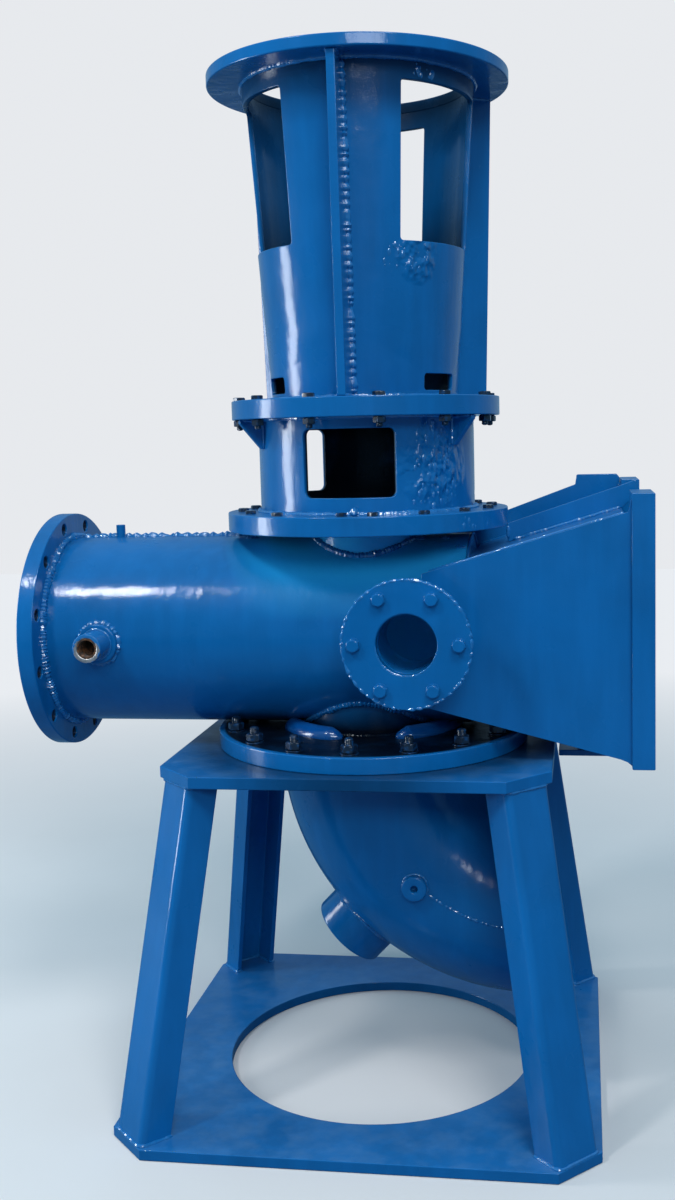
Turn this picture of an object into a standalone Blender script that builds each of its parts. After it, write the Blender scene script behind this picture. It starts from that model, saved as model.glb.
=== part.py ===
# Vertical dry-pit sewage pump on its splayed stand. Metres, +Z up, discharge towards -X.
import math

import bmesh
import bpy
import numpy as np

# Overall
AXIS_X = 0.04485           # pump axis, set so that the outline is centred on x = 0
AXIS_Y = -0.0078           # the pump axis stands a little forward of the middle of the stand
GAP = 0.0003               # clearance between pieces that touch
WALL = 0.012               # wall of pipe, casing and elbow
PIPE_R = 0.1775            # outside radius of pipe, casing barrel and elbow
PUMP_Z = 0.854             # height of the horizontal casing axis

# Stand
BASE_HALF_X = 0.4258
BASE_HALF_Y = 0.4210
BASE_CHAMFER = 0.0715
BASE_T = 0.0188
BASE_HOLE_R = 0.2935
TOP_HALF_X = 0.3455
TOP_HALF_Y = 0.326
TOP_CHAMFER = 0.0735
TOP_Z0 = 0.6225
TOP_Z1 = 0.6435
TOP_HOLE_R = 0.184
LEG_WEB = 0.094            # width of the channel web
LEG_FLANGE = 0.059         # depth of the channel flanges
LEG_T = 0.010
LEG_BEND = 0.012           # outside radius of the pressed bends
LEG_INSET = 0.003          # how far the web stands inside the clipped corner

# Suction side
SUCTION_FLANGE_R = 0.2936
SUCTION_FLANGE_T = 0.0147
SUCTION_BORE_R = 0.118     # narrows from the elbow to the casing neck
BEND_R = 0.306             # centre-line radius of the elbow
BEND_Z = 0.6385            # height of the bend centre
ELBOW_END = 0.326          # elbow mouth, from the pump axis
INLET_FLANGE_R = 0.2243
INLET_FLANGE_T = 0.020
STUB_R = 0.0745            # clean-out stub on the heel of the elbow
STUB_REACH = 0.5310        # its end, from the bend centre
STUB_TURN = 46.5           # degrees round the bend
ELBOW_BOSS_R = 0.023
ELBOW_BOSS_BORE = 0.006
ELBOW_BOSS_REACH = 0.192
ELBOW_BOSS_SHIFT = (0.0071, -0.0134)   # from the middle of the bend

# Casing and discharge
BARREL_X0 = -0.200         # casing barrel, from the pump axis
BARREL_X1 = 0.195
NECK_R = 0.130
COLLAR_R = 0.100
DISCHARGE_X = -0.6104      # outer face of the discharge flange
DISCHARGE_R = 0.2243
DISCHARGE_T = 0.030
BOLT_CIRCLE_R = 0.2035
BOLT_HOLE_R = 0.0115
BOLT_COUNT = 12
TAP_X = -0.474
TAP_Z = 0.852
TAP_PAD_R = 0.037
TAP_PAD_REACH = 0.190
TAP_R = 0.026
TAP_BORE_R = 0.016
TAP_REACH = 0.238
TAP_ROOT = 0.160              # inside the pipe wall, before the pipe bore is cut
VENT_X = -0.4875
VENT_R = 0.0085
VENT_Z = 1.0555
NOZZLE_X = 0.1063          # inspection nozzle on the front
NOZZLE_Z = 0.8676
NOZZLE_R = 0.075
NOZZLE_BORE_R = 0.0517
NOZZLE_FLANGE_R = 0.111
NOZZLE_FLANGE_T = 0.020
NOZZLE_FACE = 0.292

# Pedestal
CASING_TOP = 1.0465
PED_FLANGE_R = 0.2617
PED_FLANGE_T = 0.0168
PED_RING_BORE_R = 0.180
PED_R = 0.2005
PED_Z0 = 1.0804
PED_Z1 = 1.2494
PED_WINDOW_Z = (1.1096, 1.2295)
PED_WINDOW_HALF = 24.0     # degrees
PED_WINDOWS = (-90.0, 30.0, 150.0)
GUSSET_R = 0.244
GUSSET_DROP = 0.053
GUSSET_T = 0.012
SOLID_PANELS = (-30.0, 90.0, 210.0)

# Motor stool
MID_FLANGE_R = 0.2487
MID_FLANGE_T = 0.0171
STOOL_Z0 = 1.2839
STOOL_Z1 = 1.841
STOOL_R0 = 0.1726
STOOL_R1 = 0.2110
STOOL_WALL = 0.010
STOOL_WINDOW_Z = (1.5473, 1.8086)
STOOL_WINDOW_HALF = 30.0
STOOL_HOLE_Z = (1.2943, 1.3231)
STOOL_HOLE_HALF = 13.7
RIB_T = 0.015
RIB_R0 = 0.2465
RIB_R1 = 0.2640
MOTOR_FLANGE_R = 0.273
MOTOR_BORE_R = 0.2025
MOTOR_Z1 = 1.862

# Support bracket, x from the pump axis
BRACKET_T = 0.012
BRACKET_Y = PIPE_R + GAP   # inside face of each side plate
SIDE_X0 = 0.122
FRONT_X1 = 0.4846
BACK_X1 = 0.4717
FOOT_Y0 = 0.0585
FOOT_Y1 = 0.200
FRONT_FOOT_T = 0.0358
BACK_FOOT_T = 0.033
RIB_X0 = PED_FLANGE_R + GAP
RIB_X1 = 0.4963

BLUE = (0.012, 0.145, 0.42, 1.0)
ROUND = 64
ELBOW_STEPS = 14
ELBOW_SIDES = 40


def clear_scene():
    for obj in list(bpy.data.objects):
        bpy.data.objects.remove(obj, do_unlink=True)


def finish(name, mesh, smooth=False):
    """Give a mesh its object, outward faces and its own paint."""
    shape = bmesh.new()
    shape.from_mesh(mesh)
    bmesh.ops.recalc_face_normals(shape, faces=shape.faces)
    shape.to_mesh(mesh)
    shape.free()
    obj = bpy.data.objects.new(name, mesh)
    bpy.context.scene.collection.objects.link(obj)
    paint = bpy.data.materials.new(name + "_paint")
    paint.use_nodes = True
    shader = paint.node_tree.nodes["Principled BSDF"]
    shader.inputs["Base Color"].default_value = BLUE
    shader.inputs["Roughness"].default_value = 0.25
    mesh.materials.append(paint)
    if smooth:
        mesh.shade_smooth()
        mesh.set_sharp_from_angle(angle=math.radians(35))
    return obj


def make(name, verts, faces, smooth=False):
    mesh = bpy.data.meshes.new(name)
    mesh.from_pydata([tuple(map(float, v)) for v in verts], [], faces)
    return finish(name, mesh, smooth)


def on_axis(x=0.0, z=0.0):
    """Point in the upright plane of the pump axis, x measured from that axis."""
    return AXIS_X + x, AXIS_Y, z


def place(points, axis, centre):
    """Turn (a, b, h) rows so that h runs along the axis, and move them to the centre."""
    a, b, h = points.T
    rows = {"x": (h, a, b), "y": (b, h, a), "z": (a, b, h)}[axis]
    return np.stack(rows, axis=1) + np.array(centre)


def turned(name, centre, axis, profile, segments=ROUND):
    """Ring turned from a closed profile of (radius, height) points."""
    angle = np.arange(segments) * 2.0 * math.pi / segments
    radius, height = np.array(profile).T
    a = np.outer(np.cos(angle), radius)
    b = np.outer(np.sin(angle), radius)
    h = np.tile(height, (segments, 1))
    verts = place(np.stack([a, b, h], axis=2).reshape(-1, 3), axis, centre)
    count = len(profile)
    faces = []
    for i in range(segments):
        j = (i + 1) % segments
        for k in range(count):
            n = (k + 1) % count
            faces.append((i * count + k, j * count + k, j * count + n, i * count + n))
    return make(name, verts, faces, True)


def ring(name, centre, axis, r_out, r_in, h0, h1, segments=ROUND):
    return turned(name, centre, axis, [(r_in, h0), (r_out, h0), (r_out, h1), (r_in, h1)], segments)


def bar(name, bottom, top, smooth=False):
    """Solid between two outlines of equal point count."""
    count = len(bottom)
    faces = [tuple(range(count)), tuple(range(count, 2 * count))]
    for k in range(count):
        n = (k + 1) % count
        faces.append((k, n, count + n, count + k))
    return make(name, list(bottom) + list(top), faces, smooth)


def disc(name, centre, axis, radius, h0, h1, segments=ROUND):
    angle = np.arange(segments) * 2.0 * math.pi / segments
    rim = np.stack([radius * np.cos(angle), radius * np.sin(angle)], axis=1)
    ends = [place(np.column_stack([rim, np.full(segments, h)]), axis, centre) for h in (h0, h1)]
    return bar(name, ends[0], ends[1], True)


def plate_xz(name, outline, y0, y1):
    """Flat plate standing across y, measured from the pump axis, its outline given as (x, z)."""
    near = [(AXIS_X + x, AXIS_Y + y0, z) for x, z in outline]
    far = [(AXIS_X + x, AXIS_Y + y1, z) for x, z in outline]
    return bar(name, near, far)


def block(name, x, y, z):
    outline = [(x[0], z[0]), (x[1], z[0]), (x[1], z[1]), (x[0], z[1])]
    return plate_xz(name, outline, y[0], y[1])


def modify(obj, cutter, operation):
    cutter.hide_render = True
    cutter.display_type = 'WIRE'
    step = obj.modifiers.new(operation.lower() + "_" + cutter.name, 'BOOLEAN')
    step.operation = operation
    step.solver = 'EXACT'
    step.object = cutter


def clipped_plate(name, half_x, half_y, chamfer, z0, z1, hole_r):
    """Square plate with clipped corners, meshed along rays from its hole on the pump axis."""
    corners = []
    for sx, sy in ((1, 1), (-1, 1), (-1, -1), (1, -1)):
        pair = [(sx * half_x, sy * (half_y - chamfer)), (sx * (half_x - chamfer), sy * half_y)]
        corners += pair if sx * sy > 0 else pair[::-1]
    turn = sorted(math.atan2(y - AXIS_Y, x) % (2 * math.pi) for x, y in corners)
    even = np.arange(ROUND) * 2.0 * math.pi / ROUND
    keep = [a for a in even if min(abs(a - c) for c in turn) > 0.01]
    angles = sorted(keep + turn)
    reach = half_x + half_y - chamfer
    sides = [(sx, 0, half_x) for sx in (-1, 1)] + [(0, sy, half_y) for sy in (-1, 1)]
    sides += [(sx, sy, reach) for sx in (-1, 1) for sy in (-1, 1)]
    rows = []
    for angle in angles:
        c, s = math.cos(angle), math.sin(angle)
        far = min((d - ny * AXIS_Y) / (nx * c + ny * s) for nx, ny, d in sides if nx * c + ny * s > 1e-9)
        for radius, z in ((hole_r, z0), (far, z0), (far, z1), (hole_r, z1)):
            rows.append((AXIS_X + radius * c, AXIS_Y + radius * s, z))
    faces = []
    for i in range(len(angles)):
        j = (i + 1) % len(angles)
        for k in range(4):
            n = (k + 1) % 4
            faces.append((i * 4 + k, j * 4 + k, j * 4 + n, i * 4 + n))
    return make(name, rows, faces)


def channel_leg(name, side_x, side_y):
    """Pressed channel whose web faces outwards along the clipped corners of both plates."""
    half = LEG_WEB / 2.0
    # (across the web, inwards) round the section
    section = [(-half, LEG_FLANGE)]
    for side in (-1, 1):
        arc = [math.radians(90.0 * k / 4) for k in range(5)]
        bend = [(side * (half - LEG_BEND + LEG_BEND * math.cos(a)), LEG_BEND - LEG_BEND * math.sin(a))
                for a in arc]
        section += bend if side < 0 else bend[::-1]
    section += [(half, LEG_FLANGE), (half - LEG_T, LEG_FLANGE), (half - LEG_T, LEG_T),
                (-half + LEG_T, LEG_T), (-half + LEG_T, LEG_FLANGE)]
    root = math.sqrt(0.5)
    ends = []
    for half_x, half_y, chamfer, z in (
            (BASE_HALF_X, BASE_HALF_Y, BASE_CHAMFER, BASE_T + GAP),
            (TOP_HALF_X, TOP_HALF_Y, TOP_CHAMFER, TOP_Z0 - GAP)):
        mid_x = half_x - chamfer / 2.0 - LEG_INSET * root
        mid_y = half_y - chamfer / 2.0 - LEG_INSET * root
        ends.append([(AXIS_X + side_x * (mid_x - root * (inward + across)),
                      side_y * (mid_y - root * (inward - across)), z)
                     for across, inward in section])
    return bar(name, ends[0], ends[1], True)


def elbow_path():
    """Centre line of the elbow: down from its flange, round the bend, out to the mouth."""
    points = [((0.0, TOP_Z1), 0.0)]
    for i in range(ELBOW_STEPS + 1):
        turn = math.pi / 2.0 * i / ELBOW_STEPS
        points.append(((BEND_R - BEND_R * math.cos(turn), BEND_Z - BEND_R * math.sin(turn)), turn))
    points.append(((ELBOW_END, BEND_Z - BEND_R), math.pi / 2.0))
    return points


def elbow_rings(radius, path):
    """Circles of the given radius square to a path in the upright plane of the axis."""
    angle = np.arange(ELBOW_SIDES) * 2.0 * math.pi / ELBOW_SIDES
    rings = []
    for (x, z), turn in path:
        out_x, out_z = -math.cos(turn), -math.sin(turn)
        rings.append(np.stack([AXIS_X + x + radius * np.cos(angle) * out_x,
                               AXIS_Y + radius * np.sin(angle),
                               z + radius * np.cos(angle) * out_z], axis=1))
    return rings


def sweep_faces(count, segments, start=0):
    faces = []
    for i in range(count - 1):
        for k in range(segments):
            n = (k + 1) % segments
            a = start + i * segments
            faces.append((a + k, a + n, a + segments + n, a + segments + k))
    return faces


def bent_pipe(name, path):
    outer = elbow_rings(PIPE_R, path)
    inner = elbow_rings(PIPE_R - WALL, path)
    count, segments = len(outer), len(outer[0])
    total = count * segments
    faces = sweep_faces(count, segments) + sweep_faces(count, segments, total)
    for base in (0, (count - 1) * segments):
        for k in range(segments):
            n = (k + 1) % segments
            faces.append((base + k, base + n, total + base + n, total + base + k))
    return make(name, np.concatenate(outer + inner), faces, True)


def suction_elbow():
    """The elbow in two halves that meet in the middle of the bend."""
    path = elbow_path()
    middle = 1 + ELBOW_STEPS // 2
    bent_pipe("suction_elbow_upper", path[:middle + 1])
    (x, z), turn = path[middle]
    start = ((x + GAP * math.sin(turn), z - GAP * math.cos(turn)), turn)
    bent_pipe("suction_elbow_lower", [start] + path[middle + 1:])


def elbow_core():
    """Solid form of the elbow, used to fit the bosses on it."""
    rings = elbow_rings(PIPE_R + GAP, elbow_path())
    count, segments = len(rings), len(rings[0])
    faces = sweep_faces(count, segments)
    faces.append(tuple(range(segments)))
    faces.append(tuple(range((count - 1) * segments, count * segments)))
    return make("cut_elbow_core", np.concatenate(rings), faces)


def walled_tube(name, levels, radius_at, wall, windows):
    """Round wall with square-cut windows: (centre angle, half angle, z low, z high) in degrees."""
    edges = [(w[0] + s * w[1]) % 360.0 for w in windows for s in (-1, 1)]
    even = [5.0 * k for k in range(72)]
    keep = [a for a in even if min(abs((a - e + 180.0) % 360.0 - 180.0) for e in edges) > 1.2]
    angles = sorted(set(round(a, 4) for a in keep + edges))
    count = len(angles)
    turn = np.radians(angles)
    verts = []
    for z in levels:
        for radius in (radius_at(z), radius_at(z) - wall):
            verts += [(AXIS_X + radius * c, AXIS_Y + radius * s, z)
                      for c, s in zip(np.cos(turn), np.sin(turn))]

    def vert(level, side, k):
        return (level * 2 + side) * count + k % count

    def solid(level, k):
        if level < 0 or level >= len(levels) - 1:
            return False
        a0 = angles[k % count]
        a1 = angles[(k + 1) % count] + (360.0 if (k + 1) % count == 0 else 0.0)
        mid = (a0 + a1) / 2.0
        height = (levels[level] + levels[level + 1]) / 2.0
        for centre, half, low, high in windows:
            if abs((mid - centre + 180.0) % 360.0 - 180.0) < half and low < height < high:
                return False
        return True

    faces = []
    for level in range(len(levels) - 1):
        for k in range(count):
            if not solid(level, k):
                continue
            up = level + 1
            faces.append((vert(level, 0, k), vert(level, 0, k + 1), vert(up, 0, k + 1), vert(up, 0, k)))
            faces.append((vert(level, 1, k), vert(up, 1, k), vert(up, 1, k + 1), vert(level, 1, k + 1)))
            for here, there in ((level, level - 1), (up, level + 1)):
                if not solid(there, k):
                    faces.append((vert(here, 0, k), vert(here, 1, k),
                                  vert(here, 1, k + 1), vert(here, 0, k + 1)))
            for edge, beside in ((k, k - 1), (k + 1, k + 1)):
                if not solid(level, beside):
                    faces.append((vert(level, 0, edge), vert(up, 0, edge),
                                  vert(up, 1, edge), vert(level, 1, edge)))
    obj = make(name, verts, faces, True)
    shape = bmesh.new()
    shape.from_mesh(obj.data)
    loose = [v for v in shape.verts if not v.link_faces]
    bmesh.ops.delete(shape, geom=loose, context='VERTS')
    shape.to_mesh(obj.data)
    shape.free()
    return obj


def radial_plate(name, angle, outline, thickness):
    """Upright plate on a radius of the pump axis, its outline given as (radius, z)."""
    c, s = math.cos(math.radians(angle)), math.sin(math.radians(angle))
    sides = []
    for offset in (-thickness / 2.0, thickness / 2.0):
        sides.append([(AXIS_X + r * c - offset * s, AXIS_Y + r * s + offset * c, z) for r, z in outline])
    return bar(name, sides[0], sides[1])


def stand():
    clipped_plate("base_plate", BASE_HALF_X, BASE_HALF_Y, BASE_CHAMFER, 0.0, BASE_T, BASE_HOLE_R)
    clipped_plate("frame_top_plate", TOP_HALF_X, TOP_HALF_Y, TOP_CHAMFER, TOP_Z0, TOP_Z1, TOP_HOLE_R)
    for name, side_x, side_y in (("leg_front_left", -1, -1), ("leg_front_right", 1, -1),
                                 ("leg_back_left", -1, 1), ("leg_back_right", 1, 1)):
        channel_leg(name, side_x, side_y)


def suction_side():
    low = TOP_Z1 + GAP
    mid = low + SUCTION_FLANGE_T
    ring("elbow_top_flange", on_axis(), "z", SUCTION_FLANGE_R, PIPE_R - WALL, low, mid)
    ring("casing_suction_flange", on_axis(), "z", SUCTION_FLANGE_R, SUCTION_BORE_R,
         mid + GAP, mid + GAP + SUCTION_FLANGE_T)
    suction_elbow()
    mouth_z = BEND_Z - BEND_R
    ring("elbow_inlet_flange", on_axis(0.0, mouth_z), "x", INLET_FLANGE_R, PIPE_R + GAP,
         ELBOW_END - INLET_FLANGE_T, ELBOW_END)
    core = elbow_core()
    diagonal = math.sqrt(0.5)
    centre = np.array(on_axis(BEND_R, BEND_Z))
    turn = math.radians(STUB_TURN)
    outward = np.array([-math.cos(turn), 0.0, -math.sin(turn)])
    side = np.array([math.sin(turn), 0.0, -math.cos(turn)])
    angle = np.arange(40) * 2.0 * math.pi / 40
    ends = [[centre + outward * reach + STUB_R * (math.cos(a) * side + math.sin(a) * np.array([0.0, 1.0, 0.0]))
             for a in angle] for reach in (BEND_R + PIPE_R - 0.030, STUB_REACH)]
    modify(bar("elbow_clean_out_stub", ends[0], ends[1], True), core, 'DIFFERENCE')
    spot = on_axis(BEND_R * (1.0 - diagonal) + ELBOW_BOSS_SHIFT[0],
                   BEND_Z - BEND_R * diagonal + ELBOW_BOSS_SHIFT[1])
    boss = ring("elbow_gauge_boss", spot, "y", ELBOW_BOSS_R, ELBOW_BOSS_BORE,
                -ELBOW_BOSS_REACH, -PIPE_R + 0.010, 24)
    modify(boss, core, 'DIFFERENCE')


def barrel_half(name, side, x1):
    """Upper (side 1) or lower (side -1) half of the casing barrel, half a gap from its middle plane."""
    angle = side * np.arange(ROUND // 2 + 1) * 2.0 * math.pi / ROUND
    shift = side * GAP / 2.0
    verts = []
    for a in angle:
        for radius, x in ((PIPE_R - WALL, BARREL_X0), (PIPE_R, BARREL_X0), (PIPE_R, x1), (PIPE_R - WALL, x1)):
            verts.append((AXIS_X + x, AXIS_Y + radius * math.cos(a), PUMP_Z + shift + radius * math.sin(a)))
    last = 4 * (len(angle) - 1)
    faces = [(0, 1, 2, 3), (last, last + 1, last + 2, last + 3)]
    for row in range(0, last, 4):
        for k in range(4):
            n = (k + 1) % 4
            faces.append((row + k, row + 4 + k, row + 4 + n, row + n))
    return make(name, verts, faces, True)


def casing():
    flange_top = TOP_Z1 + 2.0 * (GAP + SUCTION_FLANGE_T)
    along = on_axis(0.0, PUMP_Z)
    eye = on_axis(NOZZLE_X, NOZZLE_Z)
    end = BARREL_X1 - WALL
    upper = barrel_half("pump_casing_upper", 1, end - GAP)
    lower = barrel_half("pump_casing_lower", -1, end - GAP)
    disc("casing_end_plate", along, "x", PIPE_R, end, BARREL_X1)
    eye_core = disc("cut_nozzle_bore", eye, "y", NOZZLE_BORE_R, -0.25, -0.05, 32)
    modify(upper, eye_core, 'DIFFERENCE')
    modify(lower, eye_core, 'DIFFERENCE')
    modify(lower, disc("cut_neck_bore", on_axis(), "z", SUCTION_BORE_R, flange_top - 0.05, PUMP_Z - 0.05),
           'DIFFERENCE')

    pipe_core = disc("cut_pipe_core", along, "x", PIPE_R + GAP, DISCHARGE_X - 0.05, BARREL_X1 + 0.05)
    neck = ring("casing_neck", on_axis(), "z", NECK_R, SUCTION_BORE_R, flange_top + GAP, PUMP_Z)
    modify(neck, pipe_core, 'DIFFERENCE')
    collar = disc("casing_collar", on_axis(), "z", COLLAR_R, PUMP_Z, CASING_TOP - GAP, 48)
    modify(collar, pipe_core, 'DIFFERENCE')
    nozzle = ring("inspection_nozzle", eye, "y", NOZZLE_R, NOZZLE_BORE_R,
                  -NOZZLE_FACE + NOZZLE_FLANGE_T + GAP, -0.10, 32)
    modify(nozzle, pipe_core, 'DIFFERENCE')
    ring("inspection_flange", eye, "y", NOZZLE_FLANGE_R, NOZZLE_BORE_R,
         -NOZZLE_FACE, -NOZZLE_FACE + NOZZLE_FLANGE_T, 48)

    ring("discharge_pipe", along, "x", PIPE_R, PIPE_R - WALL, DISCHARGE_X, BARREL_X0 - GAP)
    flange = ring("discharge_flange", along, "x", DISCHARGE_R, PIPE_R + GAP,
                  DISCHARGE_X, DISCHARGE_X + DISCHARGE_T)
    for k in range(BOLT_COUNT):
        turn = 2.0 * math.pi * (k + 0.5) / BOLT_COUNT
        spot = (AXIS_X, AXIS_Y + BOLT_CIRCLE_R * math.cos(turn), PUMP_Z + BOLT_CIRCLE_R * math.sin(turn))
        drill = disc("cut_bolt_%02d" % (k + 1), spot, "x", BOLT_HOLE_R,
                     DISCHARGE_X - 0.02, DISCHARGE_X + DISCHARGE_T + 0.02, 18)
        modify(flange, drill, 'DIFFERENCE')

    tap = turned("discharge_gauge_boss", on_axis(TAP_X, TAP_Z), "y",
                 [(TAP_BORE_R, -TAP_REACH), (TAP_R, -TAP_REACH), (TAP_R, -TAP_PAD_REACH),
                  (TAP_PAD_R, -TAP_PAD_REACH), (TAP_PAD_R, -TAP_ROOT), (TAP_BORE_R, -TAP_ROOT)], 32)
    modify(tap, pipe_core, 'DIFFERENCE')
    vent = disc("discharge_vent_stub", on_axis(VENT_X), "z", VENT_R,
                PUMP_Z + PIPE_R - 0.010, VENT_Z, 16)
    modify(vent, pipe_core, 'DIFFERENCE')


def pedestal():
    disc("casing_cover", on_axis(), "z", PED_FLANGE_R, CASING_TOP, CASING_TOP + PED_FLANGE_T)
    ring("pedestal_lower_flange", on_axis(), "z", PED_FLANGE_R, PED_RING_BORE_R,
         CASING_TOP + PED_FLANGE_T + GAP, PED_Z0)
    windows = [(a, PED_WINDOW_HALF) + PED_WINDOW_Z for a in PED_WINDOWS]
    levels = [PED_Z0 + GAP, PED_WINDOW_Z[0], PED_WINDOW_Z[1], PED_Z1 - GAP]
    walled_tube("pedestal_tube", levels, lambda z: PED_R, WALL, windows)
    ring("pedestal_upper_flange", on_axis(), "z", MID_FLANGE_R, PED_RING_BORE_R,
         PED_Z1, PED_Z1 + MID_FLANGE_T)
    start = PED_R + GAP
    for k, angle in enumerate(SOLID_PANELS):
        top = PED_Z1 - GAP
        outline = [(start, top), (GUSSET_R, top), (GUSSET_R, top - 0.006), (start + 0.004, top - GUSSET_DROP),
                   (start, top - GUSSET_DROP)]
        radial_plate("pedestal_gusset_%d" % (k + 1), angle, outline, GUSSET_T)


def motor_stool():
    ring("stool_lower_flange", on_axis(), "z", MID_FLANGE_R, STOOL_R0 - 0.030,
         PED_Z1 + MID_FLANGE_T + GAP, STOOL_Z0)

    def radius_at(z):
        return STOOL_R0 + (STOOL_R1 - STOOL_R0) * (z - STOOL_Z0) / (STOOL_Z1 - STOOL_Z0)

    windows = [(a, STOOL_WINDOW_HALF) + STOOL_WINDOW_Z for a in SOLID_PANELS]
    windows += [(a, STOOL_HOLE_HALF) + STOOL_HOLE_Z for a in SOLID_PANELS]
    levels = [STOOL_Z0 + GAP, STOOL_HOLE_Z[0], STOOL_HOLE_Z[1], STOOL_WINDOW_Z[0],
              STOOL_WINDOW_Z[1], STOOL_Z1 - GAP]
    walled_tube("stool_tube", levels, radius_at, STOOL_WALL, windows)
    for k, angle in enumerate(PED_WINDOWS):
        low, high = STOOL_Z0 + GAP, STOOL_Z1 - GAP
        outline = [(radius_at(low) + GAP, low), (RIB_R0, low), (RIB_R1, high), (radius_at(high) + GAP, high)]
        radial_plate("stool_rib_%d" % (k + 1), angle, outline, RIB_T)
    ring("motor_flange", on_axis(), "z", MOTOR_FLANGE_R, MOTOR_BORE_R, STOOL_Z1, MOTOR_Z1)


def top_line(x):
    """Upper edge of the front side plate at x from the pump axis."""
    return 0.978 + 0.29 * (x - 0.130)


def bottom_line(x):
    """Lower edge of the front side plate at x from the pump axis."""
    return 0.7245 - 0.263 * (x - 0.182)


def support_bracket():
    arc = [(NOZZLE_X + (NOZZLE_R + 0.003) * math.cos(a), NOZZLE_Z + (NOZZLE_R + 0.003) * math.sin(a))
           for a in np.radians(np.linspace(-76.0, 76.0, 17))]
    outline = [(SIDE_X0, bottom_line(SIDE_X0)), (0.462, bottom_line(0.462)), (0.474, 0.646),
               (0.481, 0.640), (FRONT_X1, 0.635), (FRONT_X1, 1.099), (0.481, 1.088), (0.476, top_line(0.476)),
               (SIDE_X0, top_line(SIDE_X0))]
    outline += [(SIDE_X0, arc[-1][1])] + arc[::-1] + [(SIDE_X0, arc[0][1])]
    plate_xz("bracket_front_plate", outline, -BRACKET_Y - BRACKET_T, -BRACKET_Y)

    outline = [(SIDE_X0, bottom_line(SIDE_X0)), (0.275, bottom_line(0.275)), (0.385, 0.6145),
               (0.388, 0.595), (0.466, 0.595), (BACK_X1, 0.602),
               (BACK_X1, 1.124), (0.466, 1.131), (0.388, 1.131), (0.385, 1.1115), (SIDE_X0, 1.016)]
    plate_xz("bracket_back_plate", outline, BRACKET_Y, BRACKET_Y + BRACKET_T)

    x0, x1 = BARREL_X1 + GAP, BACK_X1
    y1 = BRACKET_Y - GAP
    drop = 0.002
    outline = [(x0, top_line(x0) - drop - BRACKET_T), (x1, top_line(x1) - drop - BRACKET_T),
               (x1, top_line(x1) - drop), (x0, top_line(x0) - drop)]
    plate_xz("bracket_top_plate", outline, -y1, y1)
    outline = [(x0, bottom_line(x0) + drop), (0.4615, bottom_line(0.4615) + drop),
               (0.4615, bottom_line(0.4615) + drop + BRACKET_T), (x0, bottom_line(x0) + drop + BRACKET_T)]
    plate_xz("bracket_bottom_plate", outline, -y1, y1)

    seat = GAP - drop
    outline = [(RIB_X0, top_line(RIB_X0) + seat), (BACK_X1, top_line(BACK_X1) + seat), (RIB_X1, 1.098),
               (RIB_X1, 1.126), (0.464, 1.1144), (RIB_X0, 1.049)]
    plate_xz("bracket_middle_rib", outline, -BRACKET_T / 2.0, BRACKET_T / 2.0)

    block("bracket_front_foot", (FRONT_X1 + GAP, FRONT_X1 + GAP + FRONT_FOOT_T),
          (-FOOT_Y1, -FOOT_Y0), (0.635, 1.1105))
    block("bracket_back_foot", (BACK_X1 + GAP, BACK_X1 + GAP + BACK_FOOT_T),
          (FOOT_Y0, FOOT_Y1), (0.609, 1.124))
    block("bracket_lower_bar", (0.350, BACK_X1), (0.100, FOOT_Y1), (0.583, 0.595 - GAP))


clear_scene()
stand()
suction_side()
casing()
pedestal()
motor_stool()
support_bracket()
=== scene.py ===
# Looks of a vertical dry-pit sewage pump: glossy blue enamel over welded steel plate and pipe.
import math

import bmesh
import bpy
import numpy as np
from mathutils import Matrix


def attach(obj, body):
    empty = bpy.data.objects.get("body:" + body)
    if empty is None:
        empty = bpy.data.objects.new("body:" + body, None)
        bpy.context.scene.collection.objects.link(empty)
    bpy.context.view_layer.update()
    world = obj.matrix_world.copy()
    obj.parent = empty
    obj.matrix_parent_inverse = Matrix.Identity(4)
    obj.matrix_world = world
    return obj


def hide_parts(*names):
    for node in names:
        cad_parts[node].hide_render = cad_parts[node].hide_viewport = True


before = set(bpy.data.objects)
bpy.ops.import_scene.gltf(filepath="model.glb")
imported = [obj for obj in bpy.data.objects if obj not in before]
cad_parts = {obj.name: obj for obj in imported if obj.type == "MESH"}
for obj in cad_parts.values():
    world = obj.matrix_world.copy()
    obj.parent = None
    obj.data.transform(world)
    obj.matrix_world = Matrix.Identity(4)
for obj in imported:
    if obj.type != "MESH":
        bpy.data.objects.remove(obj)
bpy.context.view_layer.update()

TAU = 2 * math.pi
rng = np.random.default_rng(7)

# Sizes of the pump, in metres, as the solids have them
AXIS = np.array([0.04485, -0.0078, 0.0])     # the upright pump axis
WALL = 0.012
PIPE_R = 0.1775
BORE_R = PIPE_R - WALL
PUMP_Z = 0.854
PUMP = AXIS + [0, 0, PUMP_Z]

# Stand
BASE_HALF = (0.4258, 0.4210)
BASE_CHAMFER = 0.0715
BASE_T = 0.0188
BASE_HOLE_R = 0.2935
TOP_HALF = (0.3455, 0.326)
TOP_CHAMFER = 0.0735
TOP_Z = (0.6225, 0.6435)
TOP_HOLE_R = 0.184
LEG_WEB = 0.094
LEG_FLANGE = 0.059
LEG_T = 0.010
LEG_BEND = 0.012
LEG_INSET = 0.003

# Suction side
SUCTION_R = 0.2936
SUCTION_BORE_R = 0.118
SUCTION_Z = (0.6438, 0.6588, 0.6735)         # foot, joint and top of the flange pair
SUCTION_BOLT_R = 0.264
BEND_R = 0.306
BEND_Z = 0.6385
ELBOW_END = 0.326
MOUTH_R = 0.2243
MOUTH_T = 0.020
STUB_R = 0.0745
STUB_REACH = 0.5310
STUB_TURN = math.radians(46.5)
GAUGE_AT = (0.0967, 0.4087)
GAUGE_R = 0.023
GAUGE_BORE_R = 0.006
GAUGE_REACH = 0.192

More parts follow.
